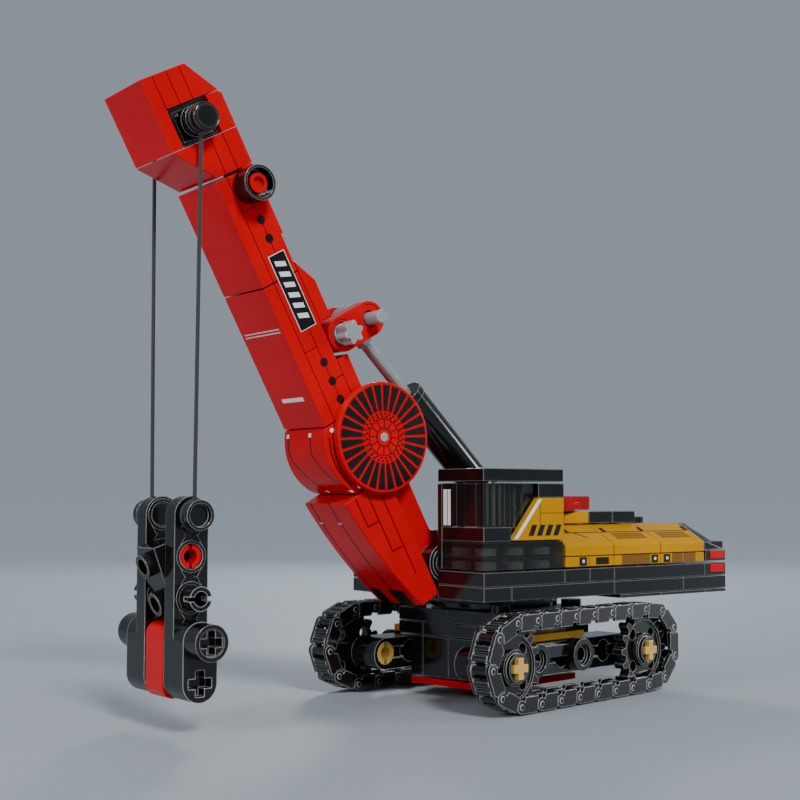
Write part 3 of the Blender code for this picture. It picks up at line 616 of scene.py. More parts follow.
def make_track_beam(side, name):
    """The round-ended beam between two sprockets, with its side rings, holes and cross bar."""
    low, high = mirrored(side, 12.3, 20.0)
    ends = ((-24.0, AXLE_Z - 0.2), (24.0, AXLE_Z - 0.2))
    beam = make(f"beam_{name}", prism("X", slot_outline(*ends, 3.6), low, high), "black", TRACK,
                [f"track_beam_{name}"])
    cuts = [prism("X", circle((y, AXLE_Z), 2.5, 30), low - 1, high + 1) for y in range(-24, 25, 8)]
    for y in range(-20, 24, 8):
        for step in (mirrored(side, 19.2, 20.5), mirrored(side, 12.0, 13.1)):
            cuts.append(prism("X", rect(y - 1.7, y + 1.7, 8.6, 11.2), *step))
    carve(beam, cuts, TRACK)
    for index, y in enumerate((-12.0, 4.0)):
        collar = ring(*mirrored(side, 20.05, 23.4), 3.65, 2.45, (y, AXLE_Z + 0.3))
        ring(*mirrored(side, 20.05, 22.5), 2.5, 1.5, (y, AXLE_Z + 0.3), collar)
        make(f"collar_{name}_{index}", collar, "black", TRACK, bevel=0.2)
    x0, x1 = mirrored(side, 20.05, 21.6)
    bar = block((x0, -9.0, AXLE_Z + 0.2), (x1, 1.0, AXLE_Z + 2.9))
    make(f"cross_bar_{name}", bar, "black", TRACK)
    strip = (*mirrored(side, 12.4, 20.6), -13.0, 8.0, DECK_Z, DECK_Z + 1.7)
    bricks(f"side_plate_{name}", [strip], "yellow", TRACK)


def make_undercarriage():
    for side, name in SIDES:
        make_chain(side, name)
        make_track_beam(side, name)
        for end in ("front", "rear"):
            make_sprocket(side, f"{name}_{end}")
    halves = spaced([-16, 0, 16])
    core = [(x0, x1, y0, y1, 4.4, DECK_Z) for x0, x1 in spaced([-12, -8, 0, 8, 12]) for y0, y1 in halves]
    bricks("chassis_bricks", core, "black", TRACK, ["chassis_core"])
    belly = [(x0, x1, y0, y1, 2.5, 4.1) for x0, x1 in spaced([-12, -4, 4, 12]) for y0, y1 in halves]
    bricks("belly_tiles", belly, "red", TRACK, ["belly_plate"])
    lower = [(x0, x1, y0, y1, DECK_Z + 0.1, DECK_Z + PLATE) for x0, x1 in spaced([-16, -8, 8, 16])
             for y0, y1 in halves]
    upper = [(x0, x1, y0, y1, DECK_Z + PLATE, DECK_TOP) for x0, x1 in spaced([-16, 0, 16])
             for y0, y1 in spaced([-16, -8, 8, 16])]
    bricks("deck_plates_lower", lower, "black", TRACK, ["deck_plate_lower"])
    bricks("deck_plates_upper", upper, "black", TRACK, ["deck_plate_upper"])
    studs = bmesh.new()
    for x in (-13, 13):
        for y in (-13, 13):
            prism("Z", circle((x, y), 2.4, 28), DECK_TOP - 0.1, DECK_TOP + 1.6, studs)
    make("deck_studs", studs, "black", TRACK)
    base = prism("Z", circle((0, 0), 15.0, 72), DECK_TOP + 0.3, DECK_TOP + 1.6)
    make("turntable_ring", base, "black", TRACK, ["turntable_base"], 0.2)
    teeth = bmesh.new()
    for step in range(48):
        if step % 4 == 3:
            continue
        corners = turned_by(rect(14.6, 15.5, -0.62, 0.62), 2 * math.pi * step / 48)
        prism("Z", corners, DECK_TOP + 1.95, DECK_TOP + 3.05, teeth)
    prism("Z", circle((0, 0), 14.8, 72), DECK_TOP + 1.9, DECK_TOP + 2.9, teeth)
    make("turntable_rim", teeth, "black", HOUSE, ["turntable_top"], 0.1)


make_undercarriage()


# ---- house ------------------------------------------------------------------------------------------
HOUSE_Z = 23.3
FLOOR_Z = HOUSE_Z + 2 * PLATE
SILL_Z = FLOOR_Z + 2 * PLATE
ROOF_Z = HOUSE_Z + 8 * PLATE
HOOD_TOP = HOUSE_Z + 5 * PLATE
HOOD_LIP = HOUSE_Z + 11.5
SLOT_X = 8.4


HOUSE_SIDE = 24.0
HOUSE_REAR = 56.0
HOOD_FRONT, HOOD_REAR = 0.3, 48.0
HOUSE_FRONT = -24.0


def column_bricks(z0, z1, side_seams, centre_seams, rear_columns):
    """One layer of the house's floor: two side columns split along Y, and the middle behind the slot."""
    sizes = []
    for y0, y1 in spaced(side_seams):
        sizes.append((SLOT_X, HOUSE_SIDE, y0, y1, z0, z1))
        sizes.append((-HOUSE_SIDE, -SLOT_X, y0, y1, z0, z1))
    for y0, y1 in spaced(centre_seams):
        sizes.append((-SLOT_X, SLOT_X, y0, y1, z0, z1))
    for x0, x1 in spaced(rear_columns):
        sizes.append((x0, x1, side_seams[-1], HOUSE_REAR, z0, z1))
    return sizes


def hood_outline(side):
    points = [(HOUSE_SIDE, HOOD_LIP - 2.3), (HOUSE_SIDE, HOOD_LIP), (23.6, HOOD_LIP + 0.5),
              (16.3, HOOD_TOP - 0.3), (15.6, HOOD_TOP), (SLOT_X, HOOD_TOP), (SLOT_X, HOOD_LIP - 2.3)]
    return [(side * x, z) for x, z in points]


def make_hood(side, name):
    """Three hood segments over a row of side tiles, with printed vents, creases and handles."""
    shape = bmesh.new()
    for y0, y1 in spaced([HOOD_FRONT, 16.0, 32.0, HOOD_REAR]):
        prism("Y", hood_outline(side), y0 + 0.1, y1 - 0.1, shape)
    make(f"hood_{name}", shape, "yellow", HOUSE, [f"engine_hood_{name}"], 0.22)
    tiles = [(*mirrored(side, SLOT_X, 23.95), y0, y1, FLOOR_Z + 0.3, HOOD_LIP - 2.4)
             for y0, y1 in spaced([HOOD_FRONT, 8.0, 16.0, 32.0, 40.0, HOOD_REAR])]
    bricks(f"hood_tiles_{name}", tiles, "yellow", HOUSE)
    face = side * 23.95
    prints = {"ink": [], "ochre": [], "white": []}
    tile_low, tile_high = FLOOR_Z + 0.6, HOOD_LIP - 2.6
    middle = (tile_low + tile_high) / 2
    for y in (5.9, 29.9, 34.2):
        prints["ink"].append((y - 1.1, y + 1.1, middle - 0.95, middle + 0.95))
        prints["white"].append((y - 0.3, y + 0.4, middle - 0.3, middle + 0.35))
    prints["ink"].append((10.1, 14.2, middle - 0.8, middle + 0.8))
    for y0, y1 in ((18.8, 28.2), (36.2, 39.9), (40.4, 44.6)):
        prints["ochre"].append((y0, y1, middle - 1.1, middle + 1.1))
    for paint, boxes in prints.items():
        ink = bmesh.new()
        lift = {"ochre": 0.04, "ink": 0.05, "white": 0.08}[paint]
        for y0, y1, z0, z1 in boxes:
            x0, x1 = sorted((face - side * 0.1, face + side * lift))
            block((x0, y0, z0), (x1, y1, z1), ink)
        make(f"tile_print_{name}_{paint}", ink, paint, HOUSE, bevel=0)
    slope_prints(side, name)


def slope_point(side, share, y, lift):
    """A point on the hood's slope: share 0 at the lip and 1 at the top."""
    low, high = Vector((23.6, HOOD_LIP + 0.5)), Vector((16.3, HOOD_TOP - 0.3))
    along = low.lerp(high, share)
    normal = Vector((high.y - low.y, low.x - high.x)).normalized()
    return Vector((side * (along.x + normal.x * lift), y, along.y + normal.y * lift))


def slope_patch(shape, side, corners, lift=0.05):
    """A thin printed patch on the slope, given as (share, y) corners."""
    patch(shape, *([slope_point(side, share, y, height) for share, y in corners] for height in (lift, -0.15)))


def slope_prints(side, name):
    ink, grille = bmesh.new(), bmesh.new()
    for y0, y1 in ((0.5, 15.6), (16.4, 31.6), (32.4, 47.6)):
        slope_patch(ink, side, [(0.60, y0), (0.63, y0), (0.63, y1), (0.60, y1)])
    slope_patch(ink, side, [(0.30, 9.8), (0.60, 7.6), (0.60, 8.0), (0.30, 10.2)])
    for y in (3.2, 5.4, 17.6, 30.6, 46.4):
        slope_patch(ink, side, [(0.62, y), (0.84, y), (0.84, y + 0.75), (0.62, y + 0.75)], 0.16)
    for y0, y1 in ((19.2, 29.8), (34.6, 45.2)):
        for bar in range(16):
            start = y0 + (y1 - y0) * bar / 16
            end = start + (y1 - y0) / 16 * 0.62
            for low, high in ((0.20, 0.29), (0.32, 0.41), (0.44, 0.53)):
                slope_patch(grille, side, [(low, start), (high, start), (high, end), (low, end)])
    make(f"hood_lines_{name}", ink, "ink", HOUSE, bevel=0)
    make(f"hood_grilles_{name}", grille, "ochre", HOUSE, bevel=0)


def make_house_floor():
    lower = column_bricks(HOUSE_Z, HOUSE_Z + PLATE, [-24, -16, 16, 40], [-15, 16, 40], [-24, -8, 8, 24])
    bricks("floor_lower", lower, "black", HOUSE, ["house_base_lower"])
    upper = column_bricks(HOUSE_Z + PLATE, FLOOR_Z, [-24, 0, 8, 16, 48], [-15, 8, 48], [-24, -16, 0, 16, 24])
    bricks("floor_upper", upper, "black", HOUSE, ["house_base_upper"])
    tiles = [(x0, x1, y0, y1, HOUSE_Z - 0.9, HOUSE_Z) for x0, x1 in ((-24, -16), (16, 24))
             for y0, y1 in spaced([18.0, 32.0, HOOD_REAR, HOUSE_REAR])]
    bricks("floor_edge_tiles", tiles, "black", HOUSE)


def make_cab():
    """Two clear bricks, a sill, the glass, the slanted side panel and the roof."""
    x0, x1 = SLOT_X, HOUSE_SIDE
    walls = bmesh.new()
    for z0, z1 in ((FLOOR_Z + 0.3, FLOOR_Z + PLATE - 0.05), (FLOOR_Z + PLATE + 0.05, SILL_Z - 0.05)):
        outer = [(x0 + 1.6, HOUSE_FRONT), (x1, HOUSE_FRONT), (x1, -0.3), (x0 + 1.6, -0.3)]
        prism("Z", outer, z0, z1, walls)
    lower = make("cab_lower_glass", walls, "glass", HOUSE, ["cab_window_lower"], 0.2)
    carve(lower, [block((x0 + 2.9, -22.7, FLOOR_Z), (x1 - 1.3, -1.6, SILL_Z + 1))], HOUSE)
    # The studs inside the clear bricks are painted pale grey, a painted highlight for the light they catch
    # behind the glass.
    studs = bmesh.new()
    for x in (x1 - 4.0, x1 - 12.0):
        for y in (-20.0, -12.0, -4.0):
            for z in (FLOOR_Z + 0.3, FLOOR_Z + PLATE + 0.1):
                prism("Z", circle((x, y), 2.3, 24), z, z + 1.7, studs)
    make("cab_inner_studs", studs, "haze", HOUSE, bevel=0.15)
    upper_wall = bmesh.new()
    outer = [(x0 + 1.6, HOUSE_FRONT), (x1, HOUSE_FRONT), (x1, -16.2), (x1 - 1.9, -15.9), (x1 - 1.9, -0.3),
             (x0 + 1.6, -0.3)]
    prism("Z", outer, SILL_Z + PLATE + 0.1, ROOF_Z - 0.05, upper_wall)
    upper = make("cab_upper_glass", upper_wall, "glass", HOUSE, ["cab_window_upper"], 0.2)
    carve(upper, [prism("Z", [(x0 + 2.9, -22.8), (x1 - 1.2, -22.8), (x1 - 1.2, -17.0), (x1 - 3.0, -16.6),
                              (x1 - 3.0, -1.5), (x0 + 2.9, -1.5)], SILL_Z + PLATE - 1, ROOF_Z + 1)], HOUSE)
    frame_shape = block((x0, HOUSE_FRONT, FLOOR_Z + 0.3), (x0 + 1.5, -0.3, ROOF_Z - 0.05))
    block((x0 + 1.55, HOUSE_FRONT, SILL_Z + 0.1), (x1, -16.1, SILL_Z + PLATE), frame_shape)
    block((x0 + 1.55, -15.9, SILL_Z + 0.1), (x1 - 2.0, -0.3, SILL_Z + PLATE - 0.1), frame_shape)
    block((x1 - 1.95, -7.9, ROOF_Z - PLATE), (x1, -0.05, ROOF_Z - 0.05), frame_shape)
    block((x0 + 5.4, -23.9, SILL_Z + PLATE), (x0 + 6.5, -22.9, ROOF_Z - 0.1), frame_shape)
    block((x0 + 9.0, -23.95, SILL_Z + PLATE), (x1 - 2.6, -22.85, ROOF_Z - 0.1), frame_shape)
    make("cab_frame_bricks", frame_shape, "black", HOUSE, ["cab_frame"])
    # The ribs behind the glass are painted pale grey, a painted highlight that draws bright streaks.
    flutes = bmesh.new()
    for y, radius in ((-21.3, 0.3), (-19.6, 0.5), (-17.8, 0.35), (-15.0, 0.45), (-13.2, 0.3), (-11.9, 0.4),
                      (-9.6, 0.3)):
        floor = SILL_Z + PLATE + (0.2 if y < -15.5 else 0.0)
        x = x1 - 1.9 if y < -16.5 else x1 - 3.7
        prism("Z", circle((x, y), radius, 14), floor, ROOF_Z - 0.1, flutes)
    make("cab_flutes", flutes, "haze", HOUSE, bevel=0.08)
    # Two white strips on the front glass: painted reflections standing in for light caught by the panes.
    glints = bmesh.new()
    for low, high in ((2.1, 3.3), (3.6, 4.5)):
        block((x0 + low, -24.06, SILL_Z + PLATE + 0.3), (x0 + high, -23.9, ROOF_Z - 1.4), glints)
    make("cab_painted_glass_glints", glints, "white", HOUSE, bevel=0.04)
    seat = block((x0 + 4.6, -12.5, SILL_Z + PLATE - 0.1), (x1 - 4.6, -6.0, SILL_Z + PLATE + 2.0))
    block((x0 + 4.6, -6.0, SILL_Z + PLATE - 0.1), (x1 - 4.6, -3.6, ROOF_Z - 2.2), seat)
    make("cab_seat", seat, "black", HOUSE, bevel=0.6)
    panel_top = ROOF_Z - PLATE - 0.05
    panel = [(-15.7, SILL_Z + 0.2), (-0.1, SILL_Z + 0.2), (-0.1, panel_top), (-7.9, panel_top)]
    make("cab_panel", prism("X", panel, 22.4, HOUSE_SIDE), "yellow", HOUSE, ["cab_side_panel"], 0.2)
    stripe = bmesh.new()
    edge_top = ROOF_Z - PLATE - 0.4
    edge = [(-15.2, SILL_Z + 0.6), (-14.2, SILL_Z + 0.6), (-6.9, edge_top), (-7.9, edge_top)]
    prism("X", edge, 23.9, 24.04, stripe)
    make("cab_panel_stripe", stripe, "white", HOUSE, bevel=0)
    lines = bmesh.new()
    block((23.9, -7.5, SILL_Z + 2.9), (24.03, -7.35, ROOF_Z - PLATE - 0.5), lines)
    block((23.9, -7.3, SILL_Z + 6.1), (24.03, -0.4, SILL_Z + 6.22), lines)
    for bar in range(4):
        y = -11.0 + 2.5 * bar
        slant = [(y, SILL_Z + 1.2), (y + 1.5, SILL_Z + 1.2), (y + 2.6, SILL_Z + 3.6), (y + 1.1, SILL_Z + 3.6)]
        prism("X", slant, 23.9, 24.05, lines)
    make("cab_panel_marks", lines, "ink", HOUSE, bevel=0)
    roof = [(x0, x1, HOUSE_FRONT, -0.05, ROOF_Z + 0.25, ROOF_Z + PLATE)]
    bricks("cab_roof_tile", roof, "black", HOUSE, ["cab_roof"], 0.2)


def make_deck():
    """What stands between and behind the hoods: plates, beacon, tail and the front box of the far side."""
    low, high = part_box("service_plates")
    y0, y1 = (low[1] - SLEW.y) / MM - 0.3, (high[1] - SLEW.y) / MM
    z0, z1 = low[2] / MM, high[2] / MM
    plates = [(SLOT_X, 16, y0, y0 + 8, z0, z1), (SLOT_X, 16, y0 + 8, y1, z0, z1)]
    bricks("service_plate_pair", plates, "black", HOUSE, ["service_plates"])
    slope = [(y0 - 8.0, z0), (y0, z0), (y0, z1), (y0 - 3.0, z1), (y0 - 8.0, z1 - 1.2)]
    make("beacon_slope", prism("X", slope, SLOT_X + 0.05, 15.95), "yellow", HOUSE, ["beacon_mount"], 0.3)
    lamp = block((SLOT_X + 0.4, y0 - 8.4, z1 + 0.3), (15.8, y0 + 0.6, z1 + 3.5))
    beacon = make("beacon_lamp", lamp, "clear_red", HOUSE, ["beacon"], 0.35)
    carve(beacon, [block((SLOT_X + 1.5, y0 - 6.5, z1), (14.5, y0 - 1.5, z1 + 2.3))], HOUSE)
    stud = prism("Z", circle(((SLOT_X + 16) / 2, y0 - 4), 2.2, 28), z1 - 0.1, z1 + 1.8)
    make("beacon_stud", stud, "yellow", HOUSE)
    rows = [(x0, x1, y, y + 8, FLOOR_Z + 0.3, HOOD_TOP) for x0, x1 in spaced([-8.1, 0, 8.1])
            for y in (17.0, 25.0, 33.0)]
    rows += [(x0, x1, 41.0, 48.0, FLOOR_Z + 0.3, HOOD_TOP) for x0, x1 in spaced([-8.1, 0, 8.1])]
    bricks("centre_bricks", rows, "black", HOUSE, ["centre_deck"])
    studs = bmesh.new()
    for x in (-4.0, 4.0):
        for y in (21.0, 29.0, 37.0, 44.5):
            prism("Z", circle((x, y), 2.4, 28), HOOD_TOP - 0.2, HOOD_TOP + 1.6, studs)
    make("centre_studs", studs, "black", HOUSE)
    grille = [(x0, x1, 48.35, 55.95, FLOOR_Z + 0.35, HOUSE_Z + 9.5) for x0, x1 in spaced([-24, -16, 16, 24])]
    bricks("tail_bricks", grille, "black", HOUSE, ["tail_block"])
    hips = bmesh.new()
    for side in (1, -1):
        foot = HOUSE_Z + 9.65
        corners = [(23.7, 48.35, foot), (23.7, 55.55, foot), (12.1, 48.35, foot), (12.1, 55.55, foot),
                   (12.1, 48.35, HOOD_TOP), (12.1, 49.5, HOOD_TOP), (16.0, 48.35, HOOD_TOP),
                   (16.0, 49.5, HOOD_TOP), (23.7, 48.35, HOOD_LIP), (23.7, 49.5, HOOD_LIP)]
        hull([(side * x, y, z) for x, y, z in corners], hips)
    make("tail_slopes", hips, "black", HOUSE, bevel=0.2)
    rear = [(x0, x1, 48.4, 55.7, HOUSE_Z + 9.65, HOOD_TOP - 0.2) for x0, x1 in spaced([-12, -4, 4, 12])]
    bricks("tail_rear_bricks", rear, "black", HOUSE)
    caps = [(*mirrored(side, 18.0, 23.7), 50.4, 55.5, HOUSE_Z + 9.7, HOUSE_Z + 11.7) for side in (1, -1)]
    bricks("tail_caps", caps, "black", HOUSE)
    lamps = bmesh.new()
    for side in (1, -1):
        for z in (FLOOR_Z + 1.1, FLOOR_Z - 2.2):
            x0, x1 = mirrored(side, 23.6, 24.12)
            block((x0, 50.0, z - 0.15), (x1, 55.2, z + 1.75), lamps)
        x0, x1 = mirrored(side, 17.2, 22.8)
        block((x0, 55.7, FLOOR_Z + 1.1), (x1, 56.0, FLOOR_Z + 2.8), lamps)
    make("tail_lamps", lamps, "red", HOUSE, bevel=0.1)
    fins = bmesh.new()
    for row in range(5):
        z = FLOOR_Z + 0.75 + row * 1.05
        block((-13.5, 55.6, z), (13.5, 55.99, z + 0.6), fins)
    make("tail_fins", fins, "track", HOUSE, bevel=0.1)
    box_rows = [(-24.0, -SLOT_X, y0, y1, z0, z1) for y0, y1 in spaced([-24.0, -16.0, -8.0, -0.1])
                for z0, z1 in ((FLOOR_Z + 0.3, FLOOR_Z + PLATE), (FLOOR_Z + PLATE, SILL_Z))]
    bricks("front_box_bricks", box_rows, "black", HOUSE, ["front_box_right"])
    rail_studs = bmesh.new()
    for y in (-20.0, -12.0, -4.0):
        for x in (-20.0, -12.4):
            prism("Z", circle((x, y), 2.4, 28), SILL_Z - 0.2, SILL_Z + 1.6, rail_studs)
    make("front_box_studs", rail_studs, "black", HOUSE)


def make_brackets():
    """The boom's clevis and pin, and the cylinder's fork."""
    for node_name in ("boom_bracket", "cylinder_foot", "foot_pin"):
        part = frame["nodes"][node_name]
        part.data.materials.clear()
        part.data.materials.append(PAINT["black"])
    place = ("house", frame_at(joint_point("boom_luff")))
    caps = bmesh.new()
    for side in (1, -1):
        ring(*mirrored(side, 8.02, 8.25), 3.5, 2.5, shape=caps)
    make("bracket_rings", caps, "black", place, bevel=0.08)


make_house_floor()
make_cab()
make_hood(1, "left")
make_hood(-1, "right")
make_deck()
make_brackets()


# ---- boom -------------------------------------------------------------------------------------------
V_BACK, V_REAR, V_FRONT, V_HEAD = -1.0, 2.2, 11.8, 18.2
KNEE_LOW, KNEE_TOP, MID_TOP, UPPER_TOP = 32.0, 48.0, 80.0, 104.0
HEAD_SILL, HEAD_SHOULDER, HEAD_TOP = 112.0, 120.0, 127.2
LUG_V, LUG_H = -2.0, 63.6


def make_wedge():
    """The curved foot of the boom, with its printed joints, stripes and dark toe."""
    front = bulge((15.0, 31.6), (7.6, 1.8), 119.0, 18)
    outline = [(V_REAR, 1.8)] + front[::-1] + [(V_REAR, 31.6)]
    make("wedge_shell", prism("X", [at(v, h) for v, h in outline], -7.95, 7.95), "red", BOOM,
                 ["boom_wedge"], 0.35, 3)
    lug = [at(V_REAR + 1, 3.1), at(PIVOT_V, 3.1)]
    lug += [at(v, h) for v, h in arc((PIVOT_V, PIVOT_H), 3.9, 270, 180, 10)[1:]]
    lug += [at(PIVOT_V - 3.9, 12.0), at(-5.0, 14.0), at(-5.0, 26.0), at(V_REAR, 28.5), at(V_REAR + 1, 28.5)]
    inner = make("wedge_lug", prism("X", lug, -3.95, 3.95), "red", BOOM)
    carve(inner, [prism("X", circle((0, 0), 2.5, 28), -5, 5)], BOOM)
    seams = bmesh.new()
    side_line(seams, [(12.2, 31.4), (12.2, 24.4), (9.1, 24.2)], 0.16)
    side_line(seams, [(9.0, 31.0), (9.0, 16.5), (6.1, 16.2)], 0.16)
    side_line(seams, [(5.8, 31.4), (5.8, 9.0)], 0.14)
    make("wedge_seams", seams, "ink", BOOM, bevel=0)
    stripes, dashes = bmesh.new(), bmesh.new()
    for first, last in zip(front, front[1:]):
        if last[1] > 30.5:
            continue
        toe = last[1] < 6.5
        for x0, x1 in ((-6.6, -3.2), (0.2, 5.4)) if toe else ((-5.75, -5.4), (1.45, 1.8)):
            patch(stripes, *front_strip(first, last, x0, x1, 0.04))
    for h in (26.6, 27.4):
        station = [point for point in front if point[1] < h][0]
        for x in (-5.6, 1.6):
            end = (station[0] - 0.05, station[1] - 0.4)
            patch(dashes, *front_strip(station, end, x - 0.7, x + 0.7, 0.09))
    make("wedge_stripes", stripes, "ink", BOOM, bevel=0)
    make("wedge_dashes", dashes, "white", BOOM, bevel=0)


def front_strip(first, last, x0, x1, lift, turn=0.0):
    """Four corners just above the boom's front between two (v, h) stations, and across X."""
    a, b = Vector(first), Vector(last)
    along = (b - a).normalized()
    outward = Vector((-along.y, along.x))
    outward = outward if outward.x > 0 else -outward
    stations = [at(*(p + outward * lift)) for p in (a, b)]
    deep = [at(*(p - outward * 0.12)) for p in (a, b)]
    top = [(x0, *stations[0]), (x1, *stations[0]), (x1 + turn, *stations[1]), (x0 + turn, *stations[1])]
    low = [(x0, *deep[0]), (x1, *deep[0]), (x1 + turn, *deep[1]), (x0 + turn, *deep[1])]
    return top, low


def make_knee():
    """The bent piece between the foot and the long boom, with its printed bolts and curved lines."""
    bump = bulge((V_FRONT, KNEE_TOP), (V_FRONT - 0.4, KNEE_LOW + 0.1), 12.2, 20)
    outline = [(V_REAR, KNEE_TOP)] + bump + [(V_REAR, KNEE_LOW + 0.1)]
    knee = make("knee_shell", prism("X", [at(v, h) for v, h in outline], -7.95, 7.95), "red", BOOM,
                ["boom_knee"], 0.3, 3)
    carve(knee, [prism("X", circle(at(0.6, 40.0), 2.5, 28), -9, 9)], BOOM)
    boom_bricks("knee_rear", [rect(-2.6, V_REAR, 35.0, 45.0)])
    lines, dots = bmesh.new(), bmesh.new()
    for offset in (1.3, 2.3):
        curve = [(v - offset, h) for v, h in bump if 33.5 < h < 46.5]
        side_line(lines, curve, 0.22)
    for v, h in ((10.6, 46.9), (10.0, 33.2)):
        for side in (1, -1):
            prism("X", circle(at(v, h), 0.5, 18), *mirrored(side, 7.9, 8.03), dots)
    for first, last in zip(bump, bump[1:]):
        if not 33.8 < (first[1] + last[1]) / 2 < 46.6:
            continue
        shift = [5.2 * max(0.0, min(1.0, (43.0 - h) / 8.5)) for h in (first[1], last[1])]
        for x in (-6.4, 2.2):
            patch(lines, *front_strip(first, last, x + shift[0], x + shift[0] + 0.32, 0.04,
                                         turn=shift[1] - shift[0]))
    for first, last in ((bump[1], bump[2]), (bump[-3], bump[-2])):
        drift = 0.0 if first[1] > 40 else 5.2
        for x in (-6.4, 2.2):
            patch(dots, *front_strip(first, last, x + drift - 0.4, x + drift + 0.5, 0.06))
    make("knee_lines", lines, "ink", BOOM, bevel=0)
    make("knee_dots", dots, "white", BOOM, bevel=0)


def make_long_boom():
    """The straight boom as courses of bricks, with pin holes, a data plate and printed marks."""
    lug_floor = LUG_H - 4.1
    boom_bricks("mid_courses", [
        rect(8.9, V_FRONT, KNEE_TOP + 0.2, MID_TOP),
        rect(5.5, 8.9, KNEE_TOP + 0.2, 64.0), rect(5.5, 8.9, 64.0, MID_TOP),
        rect(V_REAR, 5.5, KNEE_TOP + 0.2, 56.0), rect(V_REAR, 5.5, 56.0, MID_TOP),
        rect(V_BACK, V_REAR, KNEE_TOP + 0.2, lug_floor),
    ], replaces=["boom_mid"])
    boom_bricks("upper_courses", [
        rect(8.9, V_FRONT, MID_TOP + 0.15, UPPER_TOP - 0.45),
        rect(5.5, 8.9, MID_TOP + 0.15, 96.0), rect(5.5, 8.9, 96.0, UPPER_TOP - 0.45),
        rect(V_REAR, 5.5, MID_TOP + 0.15, UPPER_TOP - 0.45),
    ], replaces=["boom_upper"])
    mount = [(V_REAR, LUG_H - 3.7), (V_REAR, LUG_H + 3.7)] + arc((LUG_V, LUG_H), 3.7, 90, 270, 20)
    boom_bricks("lug_mount", [mount], -2.4, 2.4)
    hump = [(V_BACK, LUG_H + 4.6), (V_REAR, LUG_H + 4.6), (V_REAR, MID_TOP + 2.4), (V_BACK, 76.7)]
    boom_bricks("hump_slope", [hump], replaces=["back_hump"], bevel=0.25)
    strip = [rect(V_BACK, V_REAR - 0.1, h0, h1) for h0, h1 in spaced([88.0, 96.0, 104.0, 112.0, 119.7])]
    boom_bricks("strip_tiles", strip, -4.0, 4.0, replaces=["back_strip"])
    holes = bmesh.new()
    for h in (51.7, 56.0, 60.4, 88.7, 92.9):
        for side in (1, -1):
            prism("X", circle(at(5.5, h), 0.95, 22), *mirrored(side, 7.7, 8.03), holes)
    make("boom_holes", holes, "ink", BOOM, bevel=0)
    plate = bmesh.new()
    for side in (1, -1):
        prism("X", [at(*p) for p in rect(3.4, 7.7, 68.4, 85.4)], *mirrored(side, 7.9, 8.06), plate)
    make("data_plate_border", plate, "white", BOOM, bevel=0)
    field = bmesh.new()
    for side in (1, -1):
        prism("X", [at(*p) for p in rect(3.55, 7.55, 68.55, 85.25)], *mirrored(side, 7.95, 8.09), field)
    make("data_plate", field, "ink", BOOM, bevel=0)
    bars = bmesh.new()
    for index in range(6):
        h = 70.3 + 2.35 * index
        mark = [(4.3, h), (6.8, h + 0.9), (6.8, h + 2.0), (4.3, h + 1.1)]
        for side in (1, -1):
            prism("X", [at(*p) for p in mark], *mirrored(side, 8.0, 8.12), bars)
    make("data_plate_bars", bars, "white", BOOM, bevel=0)
    marks = bmesh.new()
    for row in (70.2, 70.9):
        for index in range(17):
            x = -6.6 + 0.82 * index
            patch(marks, *front_strip((V_FRONT, row), (V_FRONT, row + 0.26), x, x + 0.5, 0.03))
    patch(marks, *front_strip((V_FRONT, 54.6), (V_FRONT, 55.5), -3.6, 4.6, 0.03))
    make("front_marks", marks, "white", BOOM, bevel=0)


def make_head():
    """The boom head: brick courses round the black frame that holds the string pins."""
    boom_bricks("head_courses", [
        rect(15.2, V_HEAD, HEAD_SILL, HEAD_TOP),
        rect(11.8, 15.2, HEAD_SHOULDER, HEAD_TOP), rect(8.6, 11.8, HEAD_SHOULDER, HEAD_TOP),
        [(V_REAR, HEAD_SHOULDER), (8.6, HEAD_SHOULDER), (8.6, HEAD_TOP), (7.2, HEAD_TOP)],
        rect(V_REAR, 5.6, UPPER_TOP, HEAD_SILL), rect(V_REAR, 5.6, HEAD_SILL, HEAD_SHOULDER),
        rect(5.6, 8.7, UPPER_TOP, HEAD_SILL),
        [(8.7, UPPER_TOP), (V_FRONT - 0.8, UPPER_TOP), (V_HEAD, HEAD_SILL), (8.7, HEAD_SILL)],
    ], replaces=["boom_head"])
    inside = rect(5.75, 15.05, HEAD_SILL + 0.15, HEAD_SHOULDER - 0.15)
    frame_piece = boom_bricks("head_frame_brick", [inside], -7.0,
                              7.0, "black", ["head_frame"])
    cuts = []
    for side in (1, -1):
        cuts.append(prism("X", [at(*p) for p in rect(6.9, 13.9, 113.0, 119.0)], *mirrored(side, 6.0, 8.0)))
    cuts.append(prism("X", circle(at(10.0, 116.0), 2.5, 28), -9, 9))
    carve(frame_piece, cuts, BOOM)
    bush = bmesh.new()
    for side in (1, -1):
        ring(*mirrored(side, 5.5, 7.4), 3.2, 2.5, at(10.0, 116.0), bush)
    make("head_bushes", bush, "black", BOOM, bevel=0.1)


def make_head_shaft():
    """A pin with a grooved neck and a domed knob at each end."""
    profile = [(-12.5, 2.4), (-12.35, 2.75), (-12.1, 2.9), (-11.0, 2.9), (-10.8, 2.7), (-10.6, 2.2),
               (-9.3, 2.2),
               (-9.2, 3.1), (-8.4, 3.1), (-8.3, 2.2)]
    stations = profile + [(-x, r) for x, r in profile[::-1]]
    rows = [[(x, a, b) for a, b in circle((0, 0), radius, 40)] for x, radius in stations]
    make("head_pin", skin(bmesh.new(), rows, closed=False), "black", SHAFT, ["head_shaft"], 0.12)


